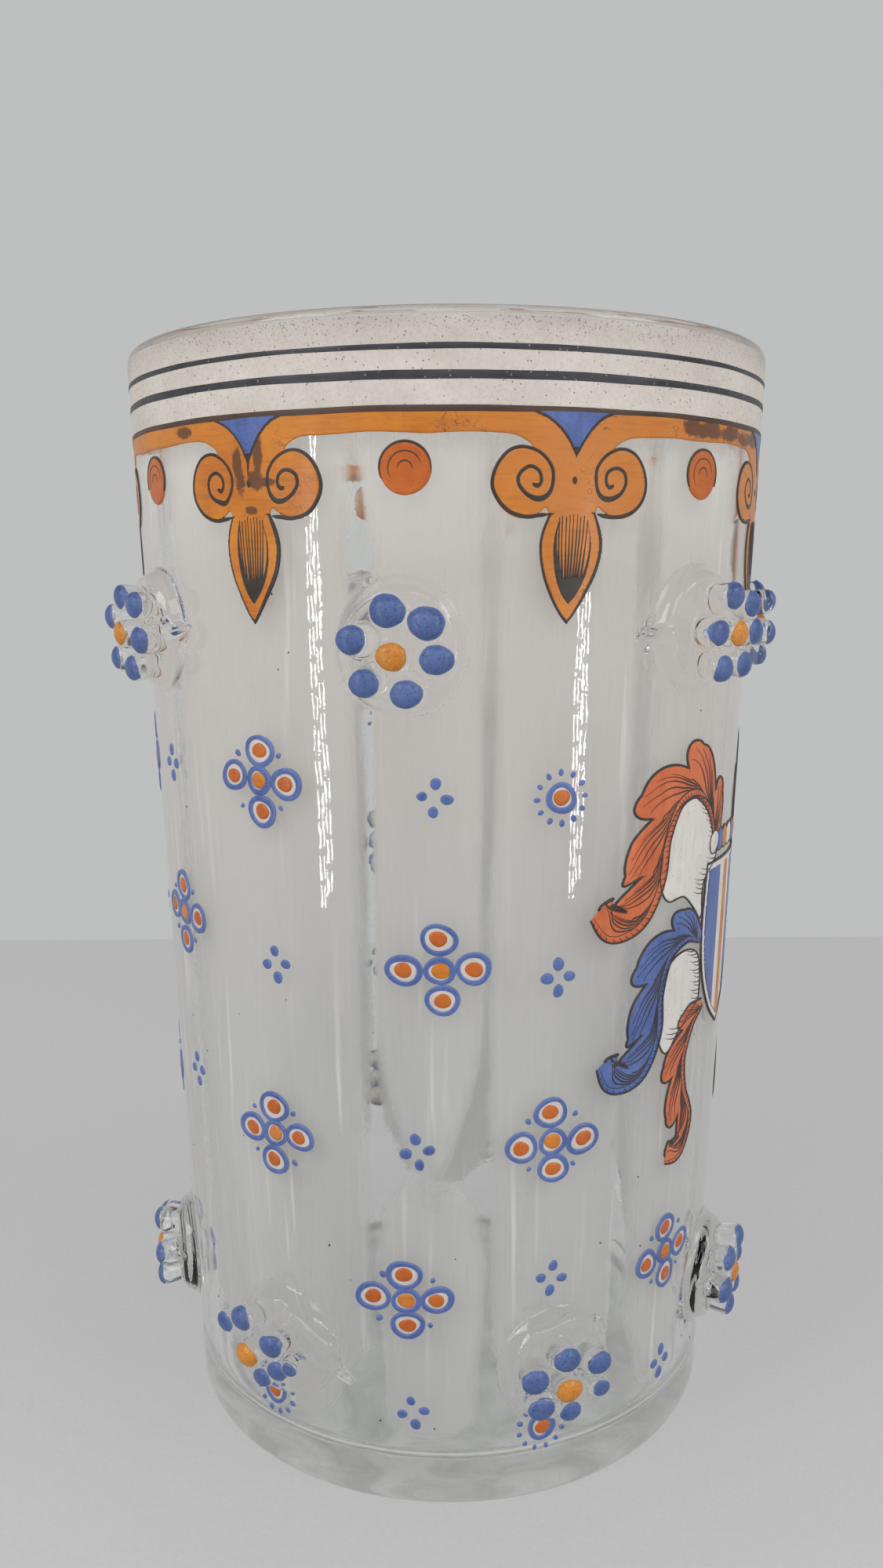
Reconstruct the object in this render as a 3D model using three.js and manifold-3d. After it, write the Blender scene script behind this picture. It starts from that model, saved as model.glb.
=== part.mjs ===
// A heavy blown glass vase: a flared beaker with milky streaks on the inside of its wall,
// two rows of raspberry prunts fused to the outside, and fired enamel below the rim.
// Millimetres, +Z up. The origin is the middle of the flat face that it rests on.
// Azimuths are in degrees: 0 faces -Y and positive turns towards +X.
import * as THREE from "three";
import { mergeVertices } from "three/addons/utils/BufferGeometryUtils.js";
import Module from "manifold-3d";

const wasm = await Module();
wasm.setup();

// Vessel
const HEIGHT = 220;
const RIM_RADIUS = 64;
const FOOT_RADIUS = 56;
const WALL = 4.2;
const FLOOR = 8;
const FOOT_CORNER = 4.5;
const INSIDE_CORNER = 5;

// Ornament shared by every ring round the vase
const REPEATS = 7;
const FIRST_AZIMUTH = -6.5;
const SEAT_GAP = 0.3;
const ENAMEL = 0.4;

// Enamel bands, measured down from the rim
const RIM_BAND_DROP = 1.8;
const RIM_BAND_WIDTH = 14.2;
const AMBER_BAND_WIDTH = 3.6;

// Scroll pendant: two volutes and a hanging leaf under the amber band
const VOLUTE_RADIUS = 5.8;
const VOLUTE_REACH = 8.2;
const VOLUTE_DROP = 1.3;
const ARM_OVERHANG = 1.6;
const NECK_HALF = 4.2;
const LEAF_HALF = 5.8;
const LEAF_LENGTH = 18.2;

// Roundel between two pendants
const ROUNDEL_RADIUS = 4.3;
const ROUNDEL_DROP = 1.2;

// Prunts: a pressed pad with a ring of studs round a smaller one
const UPPER_ROW_DROP = 54.5;
const LOWER_ROW_HEIGHT = 30;
const PAD_RADIUS = 11.4;
const PAD_HEIGHT = 3.1;
const STUD_RING_RADIUS = 6.8;
const RING_STUDS = 6;
const STUD_RADIUS = 2.9;
const CENTRE_STUD_RADIUS = 2.6;
const STUD_RISE = 5.8;

// How the hand that set them left each prunt: turned, and off its even place in degrees and mm
const UPPER_TWISTS = [44, 55, 12, 30, 5, 50, 42];
const UPPER_SHIFTS = [-1, 0, 1.5, -2, 1, -1, -3];
const UPPER_LIFTS = [0, 2, 1, -1, 0.5, 1.5, 2];
const LOWER_TWISTS = [36, 8, 25, 52, 40, 15, 22];
const LOWER_SHIFTS = [1, -1.5, 1, -1, 2, 0, -1.5];
const LOWER_LIFTS = [0, 1, -1, 0.5, 1, -0.5, 1.5];

// Opal streaks, which run between clear gaps: the gaps' middles and widths in degrees
const GAP_MIDDLES = [-60, -14, 6.5, 36, 62, 92, 132, 160, 202, 232, 270];
const GAP_WIDTHS = [3.5, 4, 4, 4.5, 3.5, 3, 3, 3, 3, 3, 3];
const STREAK_THICKNESS = 0.6;
const STREAK_FOOT_GAP = 0.5;
const STREAK_TOP_DROPS = [13, 17, 12, 16, 11, 18, 13, 15, 19, 12, 16];
const STREAK_TOP_SHARE = 0.85;
const STREAK_END_SHARE = 0.125;
const STREAK_BLUNT_SHARE = 0.1;
// One streak hangs high, and a short one rises from the foot under it.
const HANGING_STREAK = 1;
const HANGING_STREAK_FOOT = 63;
const SHORT_STREAK_CLEARANCE = 5;

// Facets
const TURN_SEGMENTS = 80;
const CORNER_STEPS = 4;
const LIP_STEPS = 3;
const CURVE_STEPS = 5;
const STUD_SEGMENTS = 8;
const STUD_STEPS = 2;
const PAD_SEGMENTS = 18;
const PAD_STEPS = 2;
const STREAK_ROWS = 10;
const STREAK_COLUMN_ANGLE = 8;

const SLOPE = Math.atan2(RIM_RADIUS - FOOT_RADIUS, HEIGHT);
const QUARTER_TURN = Math.PI / 2;
const RIM_BAND_TOP = HEIGHT - RIM_BAND_DROP;
const AMBER_BAND_TOP = RIM_BAND_TOP - RIM_BAND_WIDTH - SEAT_GAP;
const AMBER_BAND_FOOT = AMBER_BAND_TOP - AMBER_BAND_WIDTH;
const PITCH = 360 / REPEATS;

const glass = new THREE.MeshStandardMaterial({
  color: 0xcfd6d2,
  roughness: 0.05,
  metalness: 0,
  transparent: true,
  opacity: 0.4,
});
const opal = new THREE.MeshStandardMaterial({ color: 0xe4e2de, roughness: 0.3, metalness: 0 });
const paleEnamel = new THREE.MeshStandardMaterial({ color: 0xc3b9b6, roughness: 0.5, metalness: 0 });
const amberEnamel = new THREE.MeshStandardMaterial({ color: 0xcd7d2d, roughness: 0.35, metalness: 0 });
const redEnamel = new THREE.MeshStandardMaterial({ color: 0xcd6937, roughness: 0.35, metalness: 0 });

// Outside radius of the wall at a height above the table.
function wallRadius(z) {
  return FOOT_RADIUS + Math.tan(SLOPE) * z;
}

// Radius of a surface that lies an offset outside the wall, measured square to it.
function offsetRadius(z, offset) {
  return wallRadius(z) + offset / Math.cos(SLOPE);
}

// Points of an arc in the profile plane, from one angle to another.
function arcPoints(x, z, radius, from, to, steps = CORNER_STEPS) {
  return Array.from({ length: steps + 1 }, (_, i) => {
    const angle = from + ((to - from) * i) / steps;
    return new THREE.Vector2(x + radius * Math.cos(angle), z + radius * Math.sin(angle));
  });
}

// Geometry turned round the Z axis from a profile of radius and height.
function turned(profile, segments) {
  return new THREE.LatheGeometry(profile, segments).rotateX(QUARTER_TURN);
}

// A closed geometry as a solid that can be joined and cut.
function toSolid(geometry) {
  const bare = geometry.index ? geometry.toNonIndexed() : geometry.clone();
  bare.deleteAttribute("normal");
  bare.deleteAttribute("uv");
  const merged = mergeVertices(bare, 1e-4);
  return new wasm.Manifold(
    new wasm.Mesh({
      numProp: 3,
      vertProperties: new Float32Array(merged.attributes.position.array),
      triVerts: new Uint32Array(merged.index.array),
    }),
  );
}

// A solid back as geometry with flat facets.
function toGeometry(solid) {
  const { vertProperties, triVerts } = solid.getMesh();
  const geometry = new THREE.BufferGeometry();
  geometry.setAttribute("position", new THREE.BufferAttribute(vertProperties, 3));
  geometry.setIndex(new THREE.BufferAttribute(triVerts, 1));
  const facets = geometry.toNonIndexed();
  facets.computeVertexNormals();
  return facets;
}

function namedMesh(name, geometry, material) {
  const mesh = new THREE.Mesh(geometry, material);
  mesh.name = name;
  return mesh;
}

// Frame at an azimuth on the axis: X runs to the right along the wall, Y up and Z outward.
function facing(azimuth) {
  const a = THREE.MathUtils.degToRad(azimuth);
  return new THREE.Matrix4().makeBasis(
    new THREE.Vector3(Math.cos(a), Math.sin(a), 0),
    new THREE.Vector3(0, 0, 1),
    new THREE.Vector3(Math.sin(a), -Math.cos(a), 0),
  );
}

// The blown body: flat foot, flared wall, fire-polished rim and a thick floor inside.
function vesselGeometry() {
  const lip = WALL / 2;
  const lipZ = HEIGHT - lip;
  const footX = offsetRadius(FOOT_CORNER, -FOOT_CORNER);
  const insideZ = FLOOR + INSIDE_CORNER;
  const insideX = offsetRadius(insideZ, -WALL - INSIDE_CORNER);
  const lipX = offsetRadius(lipZ, -lip);
  const profile = [
    new THREE.Vector2(0, 0),
    ...arcPoints(footX, FOOT_CORNER, FOOT_CORNER, -QUARTER_TURN, -SLOPE),
    ...arcPoints(lipX, lipZ, lip, -SLOPE, QUARTER_TURN, LIP_STEPS),
    ...arcPoints(lipX, lipZ, lip, QUARTER_TURN, Math.PI - SLOPE, LIP_STEPS).slice(1),
    ...arcPoints(insideX, insideZ, INSIDE_CORNER, -SLOPE, -QUARTER_TURN),
    new THREE.Vector2(0, FLOOR),
  ];
  return turned(profile, TURN_SEGMENTS);
}

// A thin enamel skin round the whole vase, standing just off the glass.
function skinGeometry(bottom, top) {
  const near = SEAT_GAP;
  const far = SEAT_GAP + ENAMEL;
  const profile = [
    new THREE.Vector2(offsetRadius(bottom, near), bottom),
    new THREE.Vector2(offsetRadius(bottom, far), bottom),
    new THREE.Vector2(offsetRadius(top, far), top),
    new THREE.Vector2(offsetRadius(top, near), top),
    new THREE.Vector2(offsetRadius(bottom, near), bottom),
  ];
  return turned(profile, TURN_SEGMENTS);
}

// An enamel shape laid on the wall: its outline cut out of the skin at one azimuth.
function laidEnamel(shape, azimuth) {
  const heights = shape.getPoints(CURVE_STEPS).map((p) => p.y);
  const skin = toSolid(
    skinGeometry(Math.min(...heights) - SEAT_GAP, Math.max(...heights) + SEAT_GAP),
  );
  const cutter = new THREE.ExtrudeGeometry(shape, {
    depth: RIM_RADIUS + FOOT_RADIUS,
    bevelEnabled: false,
    curveSegments: CURVE_STEPS,
  });
  cutter.applyMatrix4(facing(azimuth));
  return toGeometry(skin.intersect(toSolid(cutter)));
}

// Outline of a scroll pendant, in millimetres across the wall and above the table.
function pendantShape() {
  const top = AMBER_BAND_FOOT - SEAT_GAP;
  const voluteZ = top - VOLUTE_DROP - VOLUTE_RADIUS;
  const neckAngle = Math.acos((VOLUTE_REACH - NECK_HALF) / VOLUTE_RADIUS);
  const neckZ = voluteZ - VOLUTE_RADIUS * Math.sin(neckAngle);
  const tipZ = neckZ - LEAF_LENGTH;
  const bulgeZ = neckZ - LEAF_LENGTH / 3;
  const reach = VOLUTE_REACH + VOLUTE_RADIUS + ARM_OVERHANG;
  const bulge = 2 * LEAF_HALF - NECK_HALF;
  const shape = new THREE.Shape();
  shape.moveTo(reach, top);
  shape.lineTo(-reach, top);
  shape.quadraticCurveTo(-VOLUTE_REACH, top, -VOLUTE_REACH, top - VOLUTE_DROP);
  shape.absarc(-VOLUTE_REACH, voluteZ, VOLUTE_RADIUS, QUARTER_TURN, 2 * Math.PI - neckAngle);
  shape.bezierCurveTo(-bulge, bulgeZ, -NECK_HALF, bulgeZ - LEAF_LENGTH / 3, 0, tipZ);
  shape.bezierCurveTo(NECK_HALF, bulgeZ - LEAF_LENGTH / 3, bulge, bulgeZ, NECK_HALF, neckZ);
  shape.absarc(VOLUTE_REACH, voluteZ, VOLUTE_RADIUS, Math.PI + neckAngle, QUARTER_TURN);
  shape.quadraticCurveTo(VOLUTE_REACH, top, reach, top);
  return shape;
}

function roundelShape() {
  const middleZ = AMBER_BAND_FOOT - ROUNDEL_DROP - ROUNDEL_RADIUS;
  const shape = new THREE.Shape();
  shape.absarc(0, middleZ, ROUNDEL_RADIUS, 0, 2 * Math.PI);
  return shape;
}

// A domed stud standing on the pad, its foot buried in the pad.
function studSolid(radius, x, y) {
  const shoulder = PAD_HEIGHT + STUD_RISE - radius;
  const profile = [
    new THREE.Vector2(0, 0),
    new THREE.Vector2(radius, 0),
    ...arcPoints(0, shoulder, radius, 0, QUARTER_TURN, STUD_STEPS).slice(0, -1),
    new THREE.Vector2(0, shoulder + radius),
  ];
  return toSolid(turned(profile, STUD_SEGMENTS).translate(x, y, 0));
}

// The pad's round cake: sunk below the wall's face so that a cut can seat it there.
function padSolid() {
  const sunk = PAD_RADIUS ** 2 / FOOT_RADIUS;
  const edge = PAD_HEIGHT / 2;
  const profile = [
    new THREE.Vector2(0, -sunk),
    new THREE.Vector2(PAD_RADIUS, -sunk),
    ...arcPoints(PAD_RADIUS - edge, edge, edge, 0, QUARTER_TURN, PAD_STEPS),
    new THREE.Vector2(0, PAD_HEIGHT),
  ];
  return toSolid(turned(profile, PAD_SEGMENTS));
}

// Bends a flat piece round the wall: X becomes arc length, Y height and Z distance outward.
function bentRoundWall(geometry, height) {
  const position = geometry.attributes.position;
  for (let i = 0; i < position.count; i++) {
    const z = height + position.getY(i);
    const angle = position.getX(i) / wallRadius(height);
    const radius = offsetRadius(z, position.getZ(i));
    position.setXYZ(i, radius * Math.sin(angle), -radius * Math.cos(angle), z);
  }
  return geometry;
}

// One prunt, facing azimuth 0 and cut to seat on the wall.
function pruntGeometry(height, twist) {
  let solid = padSolid().add(studSolid(CENTRE_STUD_RADIUS, 0, 0));
  for (let i = 0; i < RING_STUDS; i++) {
    const angle = THREE.MathUtils.degToRad(twist) + (2 * Math.PI * i) / RING_STUDS;
    const x = STUD_RING_RADIUS * Math.cos(angle);
    const y = STUD_RING_RADIUS * Math.sin(angle);
    solid = solid.add(studSolid(STUD_RADIUS, x, y));
  }
  const bent = toSolid(bentRoundWall(toGeometry(solid), height));
  const low = height - 2 * PAD_RADIUS;
  const high = height + 2 * PAD_RADIUS;
  const wall = turned(
    [
      new THREE.Vector2(0, low),
      new THREE.Vector2(offsetRadius(low, SEAT_GAP), low),
      new THREE.Vector2(offsetRadius(high, SEAT_GAP), high),
      new THREE.Vector2(0, high),
    ],
    TURN_SEGMENTS,
  );
  return toGeometry(bent.subtract(toSolid(wall)));
}

// Rises along a quarter circle, from 0 at the very end of a streak to 1.
function roundedEnd(t) {
  return Math.sqrt(1 - (1 - Math.min(1, t)) ** 2);
}

// Share of the full width that a streak has, from its round foot to its narrow top.
function streakShare(t) {
  const foot = roundedEnd(t / STREAK_END_SHARE);
  const tip = roundedEnd((1 - t) / STREAK_END_SHARE);
  const taper = 1 - (1 - STREAK_TOP_SHARE) * t;
  return Math.max(STREAK_BLUNT_SHARE, foot * taper * tip);
}

// An opal streak: a long thin tongue that lies along the inside of the wall from a gap to the next.
function streakGeometry(gap, bottom, top) {
  const next = (gap + 1) % GAP_MIDDLES.length;
  const turn = next === 0 ? 360 : 0;
  const from = GAP_MIDDLES[gap] + entry(GAP_WIDTHS, gap) / 2;
  const to = GAP_MIDDLES[next] + turn - entry(GAP_WIDTHS, next) / 2;
  const columns = Math.ceil((to - from) / STREAK_COLUMN_ANGLE);
  const halfAngle = THREE.MathUtils.degToRad(to - from) / 2;
  const middle = THREE.MathUtils.degToRad(from + to) / 2;
  const points = [];
  for (const depth of [WALL + SEAT_GAP, WALL + SEAT_GAP + STREAK_THICKNESS])
    for (let row = 0; row <= STREAK_ROWS; row++) {
      const t = row / STREAK_ROWS;
      const z = bottom + (top - bottom) * t;
      const radius = offsetRadius(z, -depth);
      for (let column = 0; column <= columns; column++) {
        const across = (2 * column) / columns - 1;
        const angle = middle + halfAngle * streakShare(t) * across;
        points.push(new THREE.Vector3(radius * Math.sin(angle), -radius * Math.cos(angle), z));
      }
    }
  return slabGeometry(points, STREAK_ROWS, columns);
}

// A closed slab from two grids of points, the outward face first.
function slabGeometry(points, rows, columns) {
  const sheet = (rows + 1) * (columns + 1);
  const at = (side, row, column) => side * sheet + row * (columns + 1) + column;
  const index = [];
  const quad = (a, b, c, d) => index.push(a, b, c, a, c, d);
  for (let r = 0; r < rows; r++)
    for (let c = 0; c < columns; c++) {
      quad(at(0, r, c), at(0, r, c + 1), at(0, r + 1, c + 1), at(0, r + 1, c));
      quad(at(1, r, c), at(1, r + 1, c), at(1, r + 1, c + 1), at(1, r, c + 1));
    }
  for (let r = 0; r < rows; r++) {
    quad(at(0, r, 0), at(0, r + 1, 0), at(1, r + 1, 0), at(1, r, 0));
    quad(at(0, r, columns), at(1, r, columns), at(1, r + 1, columns), at(0, r + 1, columns));
  }
  for (let c = 0; c < columns; c++) {
    quad(at(0, 0, c), at(1, 0, c), at(1, 0, c + 1), at(0, 0, c + 1));
    quad(at(0, rows, c), at(0, rows, c + 1), at(1, rows, c + 1), at(1, rows, c));
  }
  const geometry = new THREE.BufferGeometry().setFromPoints(points);
  geometry.setIndex(index);
  geometry.computeVertexNormals();
  return geometry;
}

// The list's value for a place, starting over where there are more places than values.
function entry(list, i) {
  return list[i % list.length];
}

// Turns a piece made at azimuth 0 round the vase.
function turnedTo(mesh, azimuth) {
  mesh.rotation.z = THREE.MathUtils.degToRad(azimuth);
  return mesh;
}

const vase = new THREE.Group();
vase.add(namedMesh("vessel", vesselGeometry(), glass));

const enamel = new THREE.Group();
const rimBand = skinGeometry(RIM_BAND_TOP - RIM_BAND_WIDTH, RIM_BAND_TOP);
enamel.add(namedMesh("rim_enamel_band", rimBand, paleEnamel));
enamel.add(namedMesh("amber_band", skinGeometry(AMBER_BAND_FOOT, AMBER_BAND_TOP), amberEnamel));
vase.add(enamel);

const prunts = new THREE.Group();
vase.add(prunts);
for (let i = 0; i < REPEATS; i++) {
  const azimuth = FIRST_AZIMUTH + i * PITCH;
  const between = azimuth + PITCH / 2;
  enamel.add(
    namedMesh(`enamel_roundel_${i + 1}`, laidEnamel(roundelShape(), azimuth), redEnamel),
    namedMesh(`scroll_pendant_${i + 1}`, laidEnamel(pendantShape(), between), amberEnamel),
  );
  const upperZ = HEIGHT - UPPER_ROW_DROP + entry(UPPER_LIFTS, i);
  const lowerZ = LOWER_ROW_HEIGHT + entry(LOWER_LIFTS, i);
  const upper = pruntGeometry(upperZ, entry(UPPER_TWISTS, i));
  const lower = pruntGeometry(lowerZ, entry(LOWER_TWISTS, i));
  prunts.add(
    turnedTo(namedMesh(`prunt_upper_${i + 1}`, upper, glass), azimuth + entry(UPPER_SHIFTS, i)),
    turnedTo(namedMesh(`prunt_lower_${i + 1}`, lower, glass), between + entry(LOWER_SHIFTS, i)),
  );
}

const streaks = new THREE.Group();
vase.add(streaks);
const streakFoot = FLOOR + INSIDE_CORNER + STREAK_FOOT_GAP;
for (let i = 0; i < GAP_MIDDLES.length; i++) {
  const bottom = i === HANGING_STREAK ? HANGING_STREAK_FOOT : streakFoot;
  const top = HEIGHT - entry(STREAK_TOP_DROPS, i);
  streaks.add(namedMesh(`opal_streak_${i + 1}`, streakGeometry(i, bottom, top), opal));
}
const shortStreakTop = HANGING_STREAK_FOOT - SHORT_STREAK_CLEARANCE;
const shortStreak = streakGeometry(HANGING_STREAK, streakFoot, shortStreakTop);
streaks.add(namedMesh("opal_short_streak", shortStreak, opal));

export default vase;
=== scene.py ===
import math

import bpy
import numpy as np
from mathutils import Matrix, Vector

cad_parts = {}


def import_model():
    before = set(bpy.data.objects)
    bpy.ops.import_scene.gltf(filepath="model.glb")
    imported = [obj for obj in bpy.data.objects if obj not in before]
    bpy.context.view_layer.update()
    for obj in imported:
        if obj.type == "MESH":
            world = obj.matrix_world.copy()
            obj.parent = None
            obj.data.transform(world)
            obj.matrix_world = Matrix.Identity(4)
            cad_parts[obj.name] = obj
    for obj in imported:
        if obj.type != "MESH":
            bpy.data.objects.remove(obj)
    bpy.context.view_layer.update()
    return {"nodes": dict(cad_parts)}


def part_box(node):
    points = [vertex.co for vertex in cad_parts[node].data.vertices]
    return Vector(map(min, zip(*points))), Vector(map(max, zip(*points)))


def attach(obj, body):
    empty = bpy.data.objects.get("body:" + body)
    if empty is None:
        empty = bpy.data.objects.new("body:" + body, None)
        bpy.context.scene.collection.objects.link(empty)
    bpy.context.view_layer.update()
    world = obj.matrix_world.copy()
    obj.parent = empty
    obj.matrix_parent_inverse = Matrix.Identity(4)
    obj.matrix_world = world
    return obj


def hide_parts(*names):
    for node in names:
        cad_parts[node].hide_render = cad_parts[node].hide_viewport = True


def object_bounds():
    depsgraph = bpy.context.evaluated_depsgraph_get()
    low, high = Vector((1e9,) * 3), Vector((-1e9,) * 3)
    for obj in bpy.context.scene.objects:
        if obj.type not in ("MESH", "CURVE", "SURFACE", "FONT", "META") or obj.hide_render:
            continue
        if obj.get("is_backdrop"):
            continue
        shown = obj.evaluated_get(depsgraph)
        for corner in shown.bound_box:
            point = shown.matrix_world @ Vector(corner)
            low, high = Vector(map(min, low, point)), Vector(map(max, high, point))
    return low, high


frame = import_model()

# Sizes in millimetres. Angles round the vase are in degrees, from the front towards the right.
MM = 0.001
HEIGHT = 220.0
RIM_RADIUS = 64.0
FOOT_RADIUS = 56.0
WALL = 4.2
FLOOR = 8.0
FOOT_CORNER = 4.5
INSIDE_CORNER = 5.0
LIP_ROUND = 1.5
FOOT_HOLLOW = 0.5
FLOOR_RISE = 0.8
TAPER = (RIM_RADIUS - FOOT_RADIUS) / HEIGHT
REPEATS = 7
PITCH_ANGLE = 360.0 / REPEATS
FIRST_ROUNDEL = -6.5
SUNK = -0.04  # enamel is fused a little way into the glass
OVER_SUNK = -0.02  # paint over other enamel goes in less, so that from inside it stays hidden behind it


# Places on the wall

def wall_radius(height):
    return FOOT_RADIUS + TAPER * height


def outside_wave(angle, height):
    """The blown wall's slow unevenness on the outside."""
    calm = np.clip((height - 6.0) / 20.0, 0.0, 1.0) * np.clip((HEIGHT - height) / 12.0, 0.0, 1.0)
    wave = np.sin(3 * angle + 0.4 + height / 47) + 0.6 * np.sin(5 * angle - 1.1 + height / 31)
    return 0.035 * calm * (wave + 0.5 * np.sin(2 * angle + height / 17))


def inside_wave(angle, height):
    """Long upright waves that the blowing left on the inside."""
    calm = np.clip((height - 14.0) / 30.0, 0.0, 1.0) * np.clip((HEIGHT - height) / 20.0, 0.0, 1.0)
    wave = np.sin(9 * angle + 0.7 * np.sin(height / 60)) + 0.7 * np.sin(17 * angle + 1.3 + height / 120)
    return 0.07 * calm * (wave + 0.6 * np.sin(31 * angle + 0.5 + height / 80))


def full_turn(count):
    """Even angles once round, in radians."""
    return np.arange(count) * 2 * math.pi / count


def round_axis(radius, angle, height):
    """Points round the vase's axis, with angles in radians from the front."""
    return np.stack(np.broadcast_arrays(radius * np.sin(angle), -radius * np.cos(angle), height), -1)


def on_wall(place, across, up, out):
    """Points that lie across and up from a place on the outside of the wall, and stand out from it."""
    azimuth, height = place
    z = height + up
    angle = math.radians(azimuth) + across / wall_radius(height)
    return round_axis(wall_radius(z) + outside_wave(angle, z) + out, angle, z)


def across_and_up(place, angle, height):
    """How far points of the wall, by angle in radians and height, lie across and up from a place."""
    azimuth, middle = place
    around = np.mod(angle - math.radians(azimuth) + math.pi, 2 * math.pi) - math.pi
    return around * wall_radius(middle), height - middle


def azimuths(points):
    """Degrees round from the front, from -180 to 180."""
    return np.degrees(np.arctan2(points[:, 0], -points[:, 1]))


def nearest_turn(azimuth, middle):
    """Degrees from a middle azimuth, from -180 to 180."""
    return np.mod(azimuth - middle + 180, 360) - 180


def middle_of(node):
    """The azimuth and height of the middle of a CAD node on the wall."""
    points = np.array([v.co for v in frame["nodes"][node].data.vertices])
    low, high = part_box(node)
    azimuth = math.degrees(math.atan2(points[:, 0].sum(), -points[:, 1].sum()))
    return azimuth, (low.z + high.z) / 2 / MM


def phases(rng, count):
    """Random angles, in radians, at which waves start."""
    return rng.uniform(0, 2 * math.pi, count)


# Meshes: a shape is its points in millimetres, its triangles, and numbers kept for each point

class Shape:
    def __init__(self, points, triangles, **layers):
        self.points = np.asarray(points, float).reshape(-1, 3)
        self.triangles = np.asarray(triangles, np.int64).reshape(-1, 3)
        self.layers = layers
        self.seams = np.zeros(len(self.triangles), np.int32)


def joined(shapes):
    points, triangles, seams, layers, count = [], [], [], {}, 0
    for shape in shapes:
        points.append(shape.points)
        triangles.append(shape.triangles + count)
        seams.append(shape.seams)
        for name, values in shape.layers.items():
            layers.setdefault(name, []).append(values)
        count += len(shape.points)
    whole = Shape(np.concatenate(points), np.concatenate(triangles))
    whole.layers = {name: np.concatenate(values) for name, values in layers.items()}
    whole.seams = np.concatenate(seams)
    return whole


def new_object(name, data):
    made = bpy.data.objects.new(name, data)
    bpy.context.scene.collection.objects.link(made)
    return made


def piece(name, shape, materials, slot, replaces=(), sharp=None):
    """Makes a Blender object of a shape, riding on the vase."""
    mesh = bpy.data.meshes.new(name)
    count = len(shape.triangles)
    mesh.vertices.add(len(shape.points))
    mesh.vertices.foreach_set("co", (shape.points * MM).astype(np.float32).ravel())
    mesh.loops.add(count * 3)
    mesh.loops.foreach_set("vertex_index", shape.triangles.astype(np.int32).ravel())
    mesh.polygons.add(count)
    mesh.polygons.foreach_set("loop_start", np.arange(0, count * 3, 3, dtype=np.int32))
    mesh.polygons.foreach_set("loop_total", np.full(count, 3, np.int32))
    mesh.polygons.foreach_set("material_index", shape.seams)
    mesh.polygons.foreach_set("use_smooth", np.ones(count, bool))
    mesh.update(calc_edges=True)
    for material in materials:
        mesh.materials.append(material)
    for layer, values in shape.layers.items():
        attribute = mesh.attributes.new(layer, "FLOAT", "POINT")
        attribute.data.foreach_set("value", np.asarray(values, np.float32))
    if sharp:
        mesh.set_sharp_from_angle(angle=math.radians(sharp))
    made = new_object(name, mesh)
    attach(made, "root")
    if replaces:
        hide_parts(*replaces)


def joined_pieces(rows):
    """One piece from each list of shapes; a row is a name, its shapes, a material and a slot."""
    for name, shapes, material, slot in rows:
        piece(name, joined(shapes), [material], slot)


def halved(squares):
    """Two triangles from each square of four corners."""
    return np.concatenate([squares[:, [0, 1, 2]], squares[:, [0, 2, 3]]])


def squares_of(number):
    """The four corners of each square of a grid of numbered points."""
    corners = number[:-1, :-1], number[:-1, 1:], number[1:, 1:], number[1:, :-1]
    return np.stack([corner.ravel() for corner in corners], 1)


def numbered(rows, columns):
    """The numbers of a grid's points, row by row, with each row closed on its first point."""
    number = np.arange(rows * columns).reshape(rows, columns)
    return np.concatenate([number, number[:, :1]], 1)


def ring_triangles(rings, around, closed=False):
    """Triangles between rings of points; closed joins the last ring to the first."""
    number = numbered(rings, around)
    if closed:
        number = np.concatenate([number, number[:1]])
    return halved(squares_of(number)[:, [0, 3, 2, 1]])


def fan(middle, ring, backwards=False):
    """Triangles from a middle point to a closed ring of points."""
    pair = (np.roll(ring, -1), ring) if backwards else (ring, np.roll(ring, -1))
    return np.stack([np.full(len(ring), middle), *pair], 1)


def open_edges(triangles):
    """The edges that belong to one triangle only, in that triangle's direction."""
    edges = np.concatenate([triangles[:, [0, 1]], triangles[:, [1, 2]], triangles[:, [2, 0]]])
    size = int(edges.max()) + 1
    forward = edges[:, 0] * size + edges[:, 1]
    backward = edges[:, 1] * size + edges[:, 0]
    return edges[~np.isin(forward, backward)]


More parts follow.
